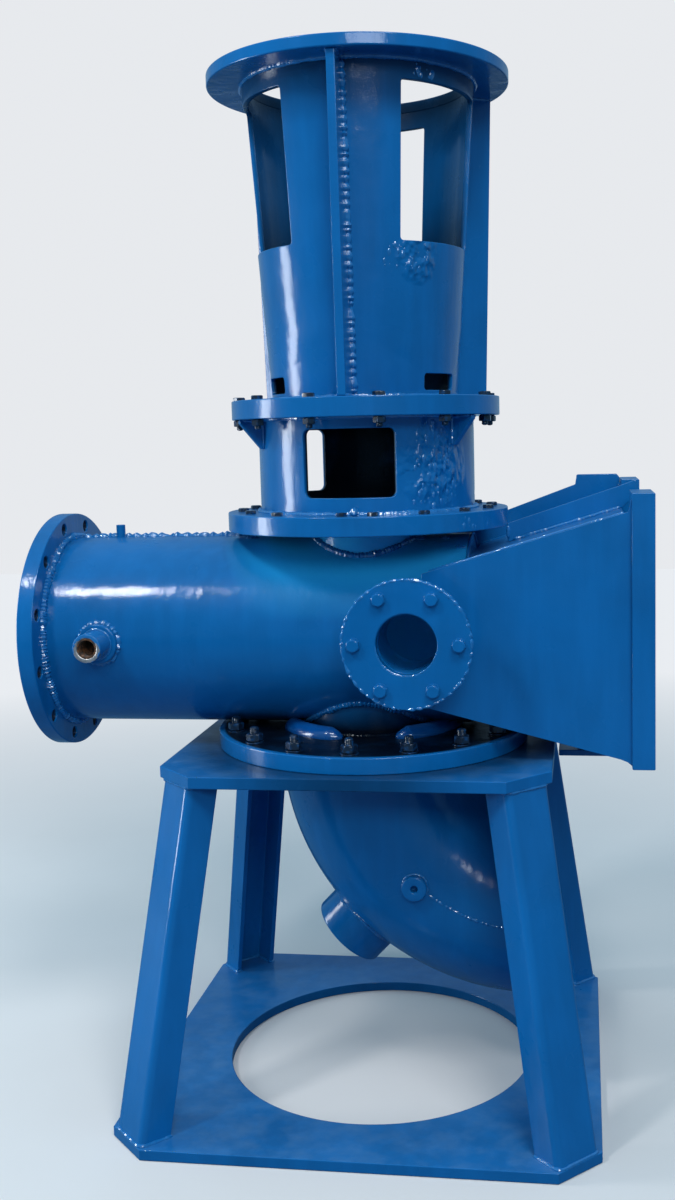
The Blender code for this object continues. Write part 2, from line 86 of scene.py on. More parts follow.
# Casing and discharge
CASING_END = 0.195
NECK_R = 0.130
NECK_ARC_R = 0.156
COLLAR_R = 0.100
DISCHARGE_X = -0.6104
DISCHARGE_R = 0.2243
DISCHARGE_T = 0.030
BOLT_CIRCLE_R = 0.2035
BOLT_HOLE_R = 0.0115
TAP_AT = (-0.474, 0.852)
TAP_PAD_R = 0.037
TAP_PAD_REACH = 0.190
TAP_R = 0.026
TAP_BORE_R = 0.016
TAP_REACH = 0.238
TAP_DEPTH = 0.046
VENT_X = -0.4875
VENT_R = 0.0085
VENT_Z = (1.020, 1.0555)
EYE_X = 0.1063
EYE_Z = 0.8676
NOZZLE_R = 0.075
NOZZLE_BORE_R = 0.0517
EYE_FLANGE_R = 0.111
EYE_FLANGE_T = 0.020
EYE_FACE = 0.292
EYE_BACK = EYE_FACE - EYE_FLANGE_T
EYE_BOLT_R = 0.0892
CASING_TOP = 1.0465

# Pedestal and motor stool
PED_FLANGE_R = 0.2617
PED_FLANGE_T = 0.0168
PED_RING_R = 0.180
PED_BOLT_R = 0.2335
PED_R = 0.2005
PED_Z = (1.0804, 1.2494)
PED_WINDOW = (1.1096, 1.2295)
GUSSET_R = 0.244
GUSSET_LIP = 0.007
GUSSET_DROP = 0.053
FRONT_ANGLES = (-90.0, 30.0, 150.0)
SIDE_ANGLES = (-30.0, 90.0, 210.0)
MID_R = 0.2487
MID_T = 0.0171
MID_BOLT_R = 0.2345
STOOL_Z = (1.2839, 1.841)
STOOL_R = (0.1726, 0.2110)
STOOL_WALL = 0.010
STOOL_BORE_R = STOOL_R[0] - 0.030
STOOL_WINDOW = (1.5473, 1.8086)
STOOL_SLOT = (1.2943, 1.3231)
STOOL_SPLIT = 1.405                          # between the slots and the windows
RIB_T = 0.015
RIB_R = (0.2465, 0.2640)
MOTOR_R = 0.273
MOTOR_BORE_R = 0.2025
MOTOR_TOP = 1.862

# Support bracket, its x values counted from the pump axis
SHEET = 0.012                                # thickness of its plates
SIDE_Y = PIPE_R + 0.0003                     # inside face of each side plate
BRACKET_X = 0.122                            # end at the barrel
FRONT_X = 0.4846                             # outer edge of the front plate
BACK_X = 0.4717                              # outer edge of the back plate
RIB_X = 0.4963                               # outer edge of the middle rib
LEDGE = 0.002                                # the side plates' edges stand this far past the sloped plates

# Roundings, and how far welded parts and beads lie off a skin
EDGE = 0.0018                                # of turned flanges
PLATE_EDGE = 0.0012
PLATE_CORNER = 0.0025
ROOT_R = PIPE_R - 0.004                      # roots of welded tubes end inside the wall
LIFT = 0.001


# Shapes

def unit(v):
    """The same directions with length 1."""
    return v / np.maximum(np.linalg.norm(v, axis=-1, keepdims=True), 1e-12)


def full_turn(count):
    """Even angles once round a circle."""
    return np.arange(count) * TAU / count


def polar(r, t, z):
    """Points at radius r and angle t: r cos t, r sin t, z."""
    return np.stack(np.broadcast_arrays(r * np.cos(t), r * np.sin(t), z), -1)


def turned(a, b, t):
    """Flat coordinates turned by t: a cos t less b sin t, a sin t plus b cos t."""
    return a * np.cos(t) - b * np.sin(t), a * np.sin(t) + b * np.cos(t)


def rounded(corners, radii, steps=3):
    """Closed outline whose corners are arcs tangent to both sides.

    A further point just outside each end of an arc keeps the flats flat in shading."""
    p = np.asarray(corners, float)
    radii = np.broadcast_to(radii, len(p)).astype(float)
    back, ahead = unit(np.roll(p, 1, 0) - p), unit(np.roll(p, -1, 0) - p)
    half = np.arccos(np.clip((back * ahead).sum(1), -1, 1)) / 2
    sides = np.linalg.norm(np.roll(p, -1, 0) - p, axis=1)
    reach = np.minimum(radii / np.tan(half), 0.42 * np.minimum(sides, np.roll(sides, 1)))
    radii = reach * np.tan(half)
    centre = p + unit(back + ahead) * (radii / np.sin(half))[:, None]
    first = (p + back * reach[:, None] - centre) / radii[:, None]
    last = (p + ahead * reach[:, None] - centre) / radii[:, None]
    turn = (math.pi - 2 * half)[:, None, None]
    s = np.linspace(0, 1, steps + 1)[None, :, None]
    arc = (np.sin((1 - s) * turn) * first[:, None] + np.sin(s * turn) * last[:, None]) / np.sin(turn)
    arc = centre[:, None] + radii[:, None, None] * arc
    hold = np.minimum(np.minimum(0.4 * radii, 0.002), 0.05 * np.minimum(sides, np.roll(sides, 1)))
    before = p + back * (reach + hold)[:, None]
    after = p + ahead * (reach + hold)[:, None]
    return np.concatenate([before[:, None], arc, after[:, None]], 1).reshape(-1, 2)


def stand_up(a, b, h, axis):
    """Points whose height h runs along the axis, and a, b across it."""
    return np.stack({"x": (h, a, b), "y": (b, h, a), "z": (a, b, h)}[axis], -1)


def lathe(profile, centre, axis="z", turns=120):
    """A profile of (radius, height) points carried round the axis: radius times cos and sin."""
    r, h = np.asarray(profile, float).T
    t = full_turn(turns)[:, None]
    grid = stand_up(np.cos(t) * r, np.sin(t) * r, np.broadcast_to(h, (turns, len(h))), axis)
    return grid + np.asarray(centre), True, True, False


def ring(r0, r1, h0, h1, centre, axis="z", edge=EDGE, turns=120):
    """Flat ring: a rounded rectangle of section carried round the axis."""
    return lathe(rounded([(r0, h0), (r1, h0), (r1, h1), (r0, h1)], edge), centre, axis, turns)


def spun_solid(outline, edge, centre, axis="z", turns=120):
    """Closed solid of turning, from the axis at the foot, round the rim, to the axis at the top.

    The outline is symmetrical about the axis, starts at its left foot, and its half is carried round."""
    half = rounded(outline, edge)
    foot, top = outline[0][1], outline[len(outline) // 2][1]
    half = np.concatenate([[[0, foot]], half[half[:, 0] > 0], [[0, top]]])
    return lathe(half, centre, axis, turns)[0], True, False, False


def disc(r, h0, h1, centre, axis="z", edge=EDGE, turns=120):
    """Solid disc: a rounded rectangle spun about its middle."""
    return spun_solid([(-r, h0), (r, h0), (r, h1), (-r, h1)], edge, centre, axis, turns)


def miters(outline):
    """Outward offset direction at each point of a closed outline that runs anticlockwise."""
    step = unit(np.roll(outline, -1, 0) - outline)
    normal = np.stack([step[:, 1], -step[:, 0]], 1)
    before = np.roll(normal, 1, 0)
    return (normal + before) / (1 + (normal * before).sum(1))[:, None]


def edge_rows(h0, h1, edge, steps=3):
    """(inset, height) rows up the side of a plate whose two edges are quarter rounds."""
    t = np.linspace(0, math.pi / 2, steps + 1)
    hold = 0.4 * edge
    low = np.stack([edge * (1 - np.sin(t)), h0 + edge * (1 - np.cos(t))], 1)
    low = np.concatenate([[[edge + hold, h0]], low, [[0, h0 + edge + hold]]])
    high = low[::-1] * [1, -1] + [0, h0 + h1]
    return np.concatenate([low, high])


def slab(outline, y0, y1, edge=PLATE_EDGE, corner=PLATE_CORNER):
    """Plate across y, its outline given as (x, z) and rounded at the corners.

    The outline is carried through the thickness, inset at both faces by the round of the edge."""
    flat = np.asarray(outline, float)[:, ::-1]
    nxt = np.roll(flat, -1, 0)
    if (flat[:, 0] * nxt[:, 1] - nxt[:, 0] * flat[:, 1]).sum() < 0:
        flat = flat[::-1]
    flat = rounded(flat, corner)
    inset, h = edge_rows(y0, y1, edge).T
    plan = flat[None] - inset[:, None, None] * miters(flat)[None]
    h = np.broadcast_to(h[:, None], plan.shape[:2])
    return stand_up(plan[..., 0], plan[..., 1], h, "y")


def upright(outline, y0, y1, edge=PLATE_EDGE, corner=PLATE_CORNER):
    """Plate standing across y, its outline given as (x from the pump axis, z)."""
    return slab(outline, y0, y1, edge, corner) + AXIS, False, True, True


def radial(outline, thick, angle):
    """Plate standing on a radius of the pump axis, its outline given as (radius, z)."""
    plate = slab(outline, -thick / 2, thick / 2)
    x, y = turned(plate[..., 0], plate[..., 1], math.radians(angle))
    return np.stack([x, y, plate[..., 2]], -1) + AXIS, False, True, True


def ray_plate(half, chamfer, z0, z1, hole_r, edge=0.0015, turns=240):
    """Square plate with clipped corners and a round hole on the pump axis.

    Along each ray from the axis the section is a rounded bar from the hole to the nearest side."""
    hx, hy = half
    quadrants = ((1, 1), (-1, 1), (-1, -1), (1, -1))
    corners = np.array([(hx, hy - chamfer), (hx - chamfer, hy)])
    corners = np.concatenate([corners * s for s in quadrants]) - [0, AXIS[1]]
    keys = np.arctan2(corners[:, 1], corners[:, 0]) % TAU
    beside = 0.004                       # rays just off each corner keep the sides flat
    keys = np.concatenate([keys - beside, keys, keys + beside])
    even = full_turn(turns)
    even = even[np.abs(even[:, None] - keys[None]).min(1) > 1.5 * beside]
    angle = np.sort(np.concatenate([even, keys]))
    way = np.stack([np.cos(angle), np.sin(angle)], 1)
    slope = hx + hy - chamfer
    sides = np.array([(1, 0, hx), (-1, 0, hx), (0, 1, hy), (0, -1, hy)]
                     + [(sx, sy, slope) for sx, sy in quadrants])
    lean = way @ sides[:, :2].T
    far = (sides[:, 2] - sides[:, 1] * AXIS[1]) / np.where(lean > 1e-6, lean, np.nan)
    side = np.nanargmin(far, 1)
    rays = np.arange(len(angle))
    far = far[rays, side]
    slant = np.hypot(*sides[side, :2].T) / lean[rays, side]
    inset, h = edge_rows(z0, z1, edge).T
    outer = far[:, None] - slant[:, None] * inset[None]
    inner = hole_r + np.broadcast_to(inset[::-1], outer.shape)
    r = np.concatenate([outer, inner], 1)
    return polar(r, angle[:, None], np.concatenate([h, h[::-1]])) + AXIS, True, True, False


def leg(side_x, side_y):
    """Pressed channel: a rounded U section carried from the base plate to the top plate.

    The web follows the clipped corners of both plates, so the section is a straight blend of two."""
    w, f, t = LEG_WEB / 2, LEG_FLANGE, LEG_T
    tip, inside = 0.0015, 0.003          # roundings of the free edges and of the inner corners
    across, inward = rounded(
        [(-w, 0), (w, 0), (w, f), (w - t, f), (w - t, t), (-w + t, t), (-w + t, f), (-w, f)],
        [LEG_BEND, LEG_BEND, tip, tip, inside, inside, tip, tip], 5).T
    ends = []
    for half, chamfer, z in ((BASE_HALF, BASE_CHAMFER, BASE_T), (TOP_HALF, TOP_CHAMFER, TOP_Z[0])):
        mid = np.array(half) - chamfer / 2 - LEG_INSET * math.sqrt(0.5)
        x = side_x * (mid[0] - math.sqrt(0.5) * (inward + across)) + AXIS[0]
        y = side_y * (mid[1] - math.sqrt(0.5) * (inward - across))
        ends.append(np.stack([x, y, np.full_like(x, z)], 1))
    s = np.linspace(0, 1, 9)[:, None, None]
    return (1 - s) * ends[0] + s * ends[1], False, True, True


def elbow_line(steps=48):
    """Centre line of the elbow in its upright plane: (x, z, turn), straight, bend, straight."""
    turn = np.linspace(0, math.pi / 2, steps)
    x = BEND_R - BEND_R * np.cos(turn)
    z = BEND_Z - BEND_R * np.sin(turn)
    bend = np.stack([x, z, turn], 1)
    return np.concatenate([[[0, TOP_Z[1], 0]], bend, [[ELBOW_END, BEND_Z - BEND_R, math.pi / 2]]])


def elbow_skin(radius, way, turns=96):
    """Circles of one radius square to the elbow's centre line."""
    t = full_turn(turns)[None]
    x, z, turn = (way[:, k, None] for k in range(3))
    grid = np.stack([x - radius * np.cos(t) * np.cos(turn), radius * np.sin(t) + 0 * x,
                     z - radius * np.cos(t) * np.sin(turn)], -1)
    return grid + AXIS


def tube_run(outer, inner):
    """Closed wall: along the outside, round one end, back along the inside, round the other end."""
    return np.concatenate([outer, inner[::-1]]), True, True, False


def on_barrel(at, radius, t, reach):
    """y where a front tube meets the barrel: minus the root of its radius squared less z squared."""
    z = at[1] + radius * np.sin(t) - PUMP_Z
    return -np.sqrt(np.maximum(reach ** 2 - z ** 2, 0))


def on_elbow(at, radius, t, reach):
    """y where a front tube meets the bend: the same rule, with the distance from its centre line."""
    away = np.hypot(at[0] + radius * np.cos(t) - BEND_R, at[1] + radius * np.sin(t) - BEND_Z) - BEND_R
    return -np.sqrt(np.maximum(reach ** 2 - away ** 2, 0))


def face_on(at, flat):
    """(across, up, y) points set about a centre that is given as (x from the pump axis, z)."""
    return np.stack([at[0] + flat[..., 0], flat[..., 2], at[1] + flat[..., 1]], -1) + AXIS


def front_tube(at, r_out, r_in, face, turns=72, surface=on_barrel, edge=PLATE_EDGE):
    """Short tube towards the front whose root follows the curved wall that it is welded to.

    Both skins are straight blends from root to rim, and the rim's two edges are quarter rounds."""
    t = full_turn(turns)
    s = np.linspace(0, 1, 10)[:, None]
    outer, inner = (polar(r, t, surface(at, r, t, ROOT_R) * (1 - s) + (edge - face) * s)
                    for r in (r_out, r_in))
    bend = np.linspace(0, math.pi / 2, 4)[1:, None]
    drop, inset = edge * (1 - np.sin(bend)), edge * (1 - np.cos(bend))
    rims = polar(r_out - inset, t, drop - face), polar(r_in + inset[::-1], t, drop[::-1] - face)
    return face_on(at, np.concatenate([outer, *rims, inner[::-1]])), True, True, False


def front_root(at, radius, surface=on_barrel, turns=160):
    """Curve where a front tube meets the wall behind it."""
    t = full_turn(turns)
    return face_on(at, polar(radius, t, surface(at, radius, t, PIPE_R)))


def stub_points(radius, t, reach):
    """Points round the clean-out stub: out from the bend centre by reach, or by the bend's skin."""
    a, b = radius * np.cos(t), radius * np.sin(t)
    out = np.array([-math.cos(STUB_TURN), 0, -math.sin(STUB_TURN)])
    side = np.array([math.sin(STUB_TURN), 0, -math.cos(STUB_TURN)])
    skin_reach = np.sqrt((BEND_R + np.sqrt(ROOT_R ** 2 - b ** 2)) ** 2 - a ** 2)
    h = skin_reach if reach is None else reach + 0 * a
    centre = AXIS + [BEND_R, 0, BEND_Z]
    return centre + h[..., None] * out + a[..., None] * side + b[..., None] * np.array([0, 1.0, 0])


def clean_out_stub(turns=96, edge=0.003):
    """Closed stub on the heel of the elbow: skin of the bend, straight side, rounded end, flat face."""
    t = full_turn(turns)
    start, hold = BEND_R + PIPE_R + 0.004, edge * 1.4
    rows = [(STUB_R, None)]
    rows += [(STUB_R, reach) for reach in np.linspace(start, STUB_REACH - hold, 4)]
    rows += [(STUB_R - edge * (1 - math.cos(k)), STUB_REACH - edge * (1 - math.sin(k)))
             for k in np.linspace(0, math.pi / 2, 5)]
    rows += [(r, STUB_REACH) for r in (STUB_R - hold, STUB_R * 0.5, 1e-5)]
    return np.stack([stub_points(r, t, reach) for r, reach in rows]), False, True, True


def loop_of(a0, a1, b0, b1, na, nb):
    """Rectangle as a closed anticlockwise loop, na steps along a and nb along b."""
    s, u = np.arange(na) / na, np.arange(nb) / nb
    a = np.concatenate([a0 + (a1 - a0) * s, np.full(nb, a1), a1 - (a1 - a0) * s, np.full(nb, a0)])
    b = np.concatenate([np.full(na, b0), b0 + (b1 - b0) * u, np.full(na, b1), b1 - (b1 - b0) * u])
    return np.stack([a, b], 1)


def soft_loop(a0, a1, b0, b1, r, na, nb, nc=3):
    """Rectangle with round corners, its points paired with those of loop_of.

    Each side runs from the middle of one corner arc to the middle of the next."""
    quarter = np.linspace(0, math.pi / 4, nc + 1)
    size = (a1 - a0, b1 - b0)
    sides = []
    for k, n in enumerate((na, nb, na, nb)):
        length = size[k % 2] / 2 - r
        s = np.linspace(-length, length, n - 2 * nc + 1)
        lead = np.stack([-length - r * np.sin(quarter[::-1]), r * (1 - np.cos(quarter[::-1]))], 1)
        tail = np.stack([length + r * np.sin(quarter), r * (1 - np.cos(quarter))], 1)
        side = np.concatenate([lead[:-1], np.stack([s, 0 * s], 1), tail[1:]])[:-1]
        side = side - [0, size[(k + 1) % 2] / 2]
        sides.append(np.stack(turned(side[:, 0], side[:, 1], k * math.pi / 2), 1))
    return np.concatenate(sides) + [(a0 + a1) / 2, (b0 + b1) / 2]


def framed_hole(outer, hole, depth, edge=PLATE_EDGE, steps=5):
    """Sheet round a hole, as (a, b) points and depths.

    The front face blends from its outer loop to the hole, the hole's rim is rounded, and the back
    blends out again."""
    away = -miters(hole)
    inset, h = edge_rows(0, depth, edge).T
    rim = hole[None] - away[None] * inset[:, None, None]
    v = np.linspace(0, 1, steps)[:-1, None, None]
    front = (1 - v) * outer + v * rim[0]
    back = ((1 - v) * outer + v * rim[-1])[::-1]
    plan = np.concatenate([front, rim, back])
    deep = np.concatenate([np.zeros(steps - 1), h, np.full(steps - 1, depth)])
    return plan, np.broadcast_to(deep[:, None], plan.shape[:2])


def holed_wall(heights, radii, wall, rows, corner, na=40):
    """Round or tapering wall in three equal sectors, each a stack of sheets framed round a hole.

    rows gives, for each height band, (z low, z high, window centre angles, half angle, hole low,
    hole high, steps up the band)."""
    z_low, z_high = heights
    mean = (radii[0] + radii[1]) / 2
    third = math.radians(60) * mean
    pieces = []

    def bend(arc, z, deep):
        """A point of the flat sheet on the wall: its radius is a straight blend over the height."""
        r = radii[0] + (radii[1] - radii[0]) * (z - z_low) / (z_high - z_low) - deep
        return polar(r, arc / mean, z) + AXIS

    for low, high, centres, half, hole_low, hole_high, nb in rows:
        wide = math.radians(half) * mean
        for centre in centres:
            mid = math.radians(centre) * mean
            outer = loop_of(mid - third, mid + third, low, high, na, nb)
            hole = soft_loop(mid - wide, mid + wide, hole_low, hole_high, corner, na, nb)
            plan, deep = framed_hole(outer, hole, wall)
            pieces.append((bend(plan[..., 0], plan[..., 1], deep), False, True, False))
    first = math.radians(rows[0][2][0]) * mean - third
    arc = first + np.arange(3 * na) * 2 * third / na
    for z in heights:
        ends = np.stack([bend(arc, np.full_like(arc, z), d) for d in (0.0, wall)])
        pieces.append((ends, False, True, False))
    return pieces


def drilled_flange(x0, x1, r_in, r_out, hole_r, circle_r, count, edge=EDGE, steps=10):
    """Flange across x: one sheet framed round each bolt hole, and rounded rims inside and outside."""
    half = math.pi / count
    pieces = []
    inset, h = edge_rows(0, x1 - x0, edge).T
    trim = inset.max()
    fan = loop_of(-half, half, r_in + trim, r_out - trim, steps, steps)
    outer = np.stack([fan[:, 1] * np.sin(fan[:, 0]), fan[:, 1] * np.cos(fan[:, 0])], 1)
    turn = np.concatenate([np.linspace(first, first + 90, steps + 1)[:-1] for first in (225, 315, 45, 135)])
    hole = polar(hole_r, np.radians(turn), 0)[:, :2] + [0, circle_r]
    plan, deep = framed_hole(outer, hole, x1 - x0)
    for k in range(count):
        a, b = turned(plan[..., 0], plan[..., 1], half * (2 * k + 1))
        pieces.append((np.stack([x0 + deep, a, b], -1) + PUMP, False, True, False))
    angle = math.pi / 2 + 2 * half * np.arange(count * steps) / steps
    for r in (r_out - inset, r_in + inset):
        rim = polar(r[:, None], angle, x0 + h[:, None])[..., [2, 0, 1]]
        pieces.append((rim + PUMP, False, True, False))
    return pieces


def barrel(turns=192):
    """Casing barrel and discharge pipe in one wall, open at the flange and closed at the far end.

    A grid of (x, angle) is wrapped on the outer and the inner radius. Points near the edge of a hole
    are moved on to it, the faces inside it are left out, and the two skins are joined along the hole."""
    round_mouth, round_end = 0.0025, 0.004
    x = np.concatenate([np.linspace(DISCHARGE_X + round_mouth, -0.21, 14),
                        np.linspace(-0.20, CASING_END - WALL, 88)])
    t = full_turn(turns)
    X, T = np.meshgrid(x, t, indexing="ij")
    out, up = PIPE_R * np.cos(T), PIPE_R * np.sin(T)      # out is towards -y
    near_edge = 0.62 * 0.0052            # a share of a cell's mean width
    inside = np.zeros(X.shape, bool)
    for faces_front, cx, cz, radius in ((True, EYE_X, EYE_Z - PUMP_Z, NOZZLE_BORE_R),
                                        (False, 0.0, 0.0, SUCTION_BORE_R)):
        v = up if faces_front else out
        near = out > 0 if faces_front else up < 0
        away = np.hypot(X - cx, v - cz)
        grow = radius / np.maximum(away, 1e-9)
        snap = near & (np.abs(away - radius) < near_edge)
        inside |= near & (away < radius - near_edge)
        new_x, new_v = cx + (X - cx) * grow, cz + (v - cz) * grow
        X = np.where(snap, new_x, X)
        share = np.clip(new_v / PIPE_R, -1, 1)
        T = np.where(snap, np.arcsin(share) if faces_front else -np.arccos(share), T)
    gone = inside | np.roll(inside, -1, 1)
    keep = ~(gone[:-1] | gone[1:])
    rows, cols = X.shape
    size = rows * cols
    skins = [polar(r, T, X)[..., [2, 0, 1]] * [1, -1, 1] + PUMP for r in (PIPE_R, BORE_R)]

    def joined(a, b):
        """Faces between the outer skin and the inner one, along the grid's edges from a to b."""
        return np.stack([a, b, b + size, a + size], 1)

    i, j = np.nonzero(keep)
    n = (j + 1) % cols
    quad = np.stack([i * cols + j, (i + 1) * cols + j, (i + 1) * cols + n, i * cols + n], 1)
    faces = [quad, quad + size]
    i, j = np.nonzero(keep != np.roll(keep, -1, 1))
    n = (j + 1) % cols
    faces.append(joined(i * cols + n, (i + 1) * cols + n))
    i, j = np.nonzero(keep[1:] != keep[:-1])
    faces.append(joined((i + 1) * cols + j, (i + 1) * cols + (j + 1) % cols))
    wall = (np.concatenate(skins).reshape(-1, 3), np.concatenate(faces))

    def end(profile):
        """(radius, x) points carried round the barrel's axis, the angle counted from the front."""
        r, x = np.array(profile).T
        grid = polar(r, t[:, None], x)[..., [2, 0, 1]] * [1, -1, 1]
        return grid + PUMP, True, False, False

    def quarter(r, x, inset, drop):
        """Quarter round from the skin at radius r to the face at x."""
        bend = np.linspace(0, math.pi / 2, 4)
        return [(r - inset * (1 - math.cos(k)), x + drop * (1 - math.sin(k))) for k in bend]

    mouth = quarter(PIPE_R, DISCHARGE_X, round_mouth, round_mouth)
    mouth += quarter(BORE_R, DISCHARGE_X, -round_mouth, round_mouth)[::-1]
    hold = round_end * 1.4
    cap = [(PIPE_R, CASING_END - WALL), (PIPE_R, CASING_END - hold)]
    cap += quarter(PIPE_R, CASING_END, round_end, -round_end)
    cap += [(PIPE_R - hold, CASING_END), (PIPE_R * 0.5, CASING_END), (0.0, CASING_END)]
    inner = [(BORE_R, CASING_END - WALL), (0.0, CASING_END - WALL)]
    return [wall, end(mouth), end(cap), end(inner)]


def saddle(radius, side, turns=220, reach=PIPE_R):
    """Curve where an upright tube meets the barrel, on its upper side for 1 and its lower for -1.

    z is the barrel's middle height plus the root of its radius squared less y squared."""
    t = full_turn(turns)
    return polar(radius, t, PUMP_Z + side * np.sqrt(reach ** 2 - (radius * np.sin(t)) ** 2)) + AXIS


def saddled_wall(radius, side, end_z, rows, turns):
    """Upright wall: a straight blend from a level circle to the saddle inside the barrel's skin."""
    s = np.linspace(0, 1, rows)[:, None, None]
    level = polar(radius, full_turn(turns), end_z) + AXIS
    return level * (1 - s) + saddle(radius, side, turns, ROOT_R) * s


# Weld beads and fasteners

def circle(radius, centre, axis="z", turns=200, start=0.0, sweep=360.0):
    """Points round a circle square to the axis, or round part of it."""
    whole = sweep >= 360.0
    t = np.radians(start + sweep * np.arange(turns) / (turns if whole else turns - 1))
    return stand_up(radius * np.cos(t), radius * np.sin(t), 0 * t, axis) + np.asarray(centre)


def spoke(angle, points, offset):
    """(radius, z) points on a radius of the pump axis, moved sideways by the offset."""
    r, z = np.array(points).T
    x, y = turned(r, offset, math.radians(angle))
    return np.stack([x, y, z], 1) + AXIS


def resample(path, pitch, closed):
    """The same path with points an even step apart, by arc length."""
    path = np.concatenate([path, path[:1]]) if closed else path
    along = np.concatenate([[0], np.cumsum(np.linalg.norm(np.diff(path, axis=0), axis=1))])
    count = max(int(along[-1] / pitch), 3)
    s = np.linspace(0, along[-1], count + 1)
    even = np.stack([np.interp(s, along, path[:, k]) for k in range(3)], 1)
    return (even[:-1], s[:-1]) if closed else (even, s)


def bead(path, width, closed=True, pitch=0.0065, step=0.0022, sides=8, swell=0.26, rough=1.0):
    """Weld bead: a circle carried along a path, swelling once for every ripple of the weld.

    Radius is half the width, plus a ripple whose crest lags at the sides like a crescent, plus slow
    wander, which rough 0 leaves out."""
    centre, s = resample(np.asarray(path, float), step, closed)
    ahead = np.roll(centre, -1, 0) - np.roll(centre, 1, 0)
    if not closed:
        ahead[0], ahead[-1] = centre[1] - centre[0], centre[-1] - centre[-2]
    ahead = unit(ahead)
    level = abs(ahead[:, 2]).mean() < 0.7
    guide = np.array([0.31, 0.17, 0.935] if level else [0.93, 0.34, 0.1])   # never along the path
    across = unit(np.cross(ahead, guide))
    up = np.cross(across, ahead)
    a = full_turn(sides)[None]
    phase = rng.uniform(0, 6.28, 6)
    length = max(s[-1], 0.05)
    repeats = max(1, round(length / 0.25))
    slow = sum(np.sin((2 * k + 3) * TAU * s / length * repeats + phase[k]) for k in range(4))[:, None]
    crest = np.abs(np.sin(math.pi * s[:, None] / pitch + 0.5 * np.cos(a) + 0.4 * slow))
    r = width / 2 * (1.06 - swell + swell * crest + 0.06 * rough * slow)
    if not closed:
        tail = np.minimum(s, s[-1] - s)[:, None]
        r = r * np.sqrt(np.clip(tail / (0.7 * width) + 0.05, 0, 1))
    wander = 0.05 * rough * width * np.sin(s * 41 + phase[4])[:, None]
    round_path = np.cos(a)[..., None] * across[:, None] + np.sin(a)[..., None] * up[:, None]
    grid = centre[:, None] + r[..., None] * round_path + wander[..., None] * across[:, None]
    return grid, closed, True, not closed


def seam(start, end, width, **manner):
    """Straight bead between two points that are given from the pump axis."""
    return bead(np.array([start, end], float) + AXIS, width, False, **manner)


def thread(h, t, pitch):
    """Depth of a thread, 0 to 1: a zigzag once for every pitch of height, turning with the angle."""
    return np.abs(2 * ((h / pitch - t / TAU) % 1) - 1)


def hexagon(across, low, high, chamfer_low=False, columns=36):
    """Hexagon head or nut: the smaller of the hexagon and a chamfer cone, at each height.

    A side of the hexagon lies at half the width over the cosine of the angle from its middle."""
    t = full_turn(columns)[None]
    chamfer = 0.08 * across
    foot = low + (chamfer if chamfer_low else 1e-4)
    h = np.concatenate([[low, foot], np.linspace(high - chamfer, high, 4), [high]])[:, None]
    cone = across / 2 * 0.93 + 1.75 * (high - h)
    if chamfer_low:
        cone = np.minimum(cone, across / 2 * 0.93 + 1.75 * (h - low))
    r = np.minimum(across / 2 / np.cos(t % (math.pi / 3) - math.pi / 6), cone)
    r[[0, -1]] *= 0.85
    return polar(r, t, h)


def rod(radius, low, high, pitch=0.0025, columns=20):
    """Threaded end: radius less the depth of the thread, and a domed tip."""
    t = full_turn(columns)[None]
    h = np.arange(low, high, pitch / 3)[:, None]
    shaft = polar(radius * (1 - 0.09 * thread(h, t, pitch)), t, h)
    tip = np.array([[1.0, 0.0], [0.8, 0.35], [0.4, 0.6], [0.02, 0.68]])
    dome = polar(radius * 0.9 * tip[:, :1], t, high + radius * 0.5 * tip[:, 1:])
    return np.concatenate([shaft, dome])


def washer(radius, low, high, edge=0.0004, columns=36):
    """Flat washer: its outline of (radius, height) points carried round."""
    outline = np.array([(radius * 0.5, low), (radius - edge, low), (radius, low + edge),
                        (radius, high - edge), (radius - edge, high), (radius * 0.5, high)])
    return polar(outline[:, :1], full_turn(columns)[None], outline[:, 1:])


def set_on(shapes, spots, out):
    """Copies of fastener shapes at many spots, their heights along out, each turned at random."""
    out = np.asarray(out, float)
    side = unit(np.cross(out, [0.2, 0.9, 0.4] if abs(out[1]) < 0.9 else [1.0, 0.1, 0.2]))
    other = np.cross(out, side)
    spin = rng.uniform(0, TAU, len(spots))[:, None, None]
    made = []
    for shape in shapes:
        a, b = turned(shape[None, ..., 0], shape[None, ..., 1], spin)
        grid = (np.asarray(spots)[:, None, None] + a[..., None] * side + b[..., None] * other
                + shape[None, ..., 2, None] * out)
        made += [(g, False, True, True) for g in grid]
    return made


def bolt_ring(radius, z, angles):
    """Spots at angles round the pump axis."""
    return polar(radius, np.radians(angles), z) + AXIS


def bolt_circle(radius, z, count, start):
    """Even spots round the pump axis."""
    return bolt_ring(radius, z, start + 360.0 * np.arange(count) / count)


# Mesh building

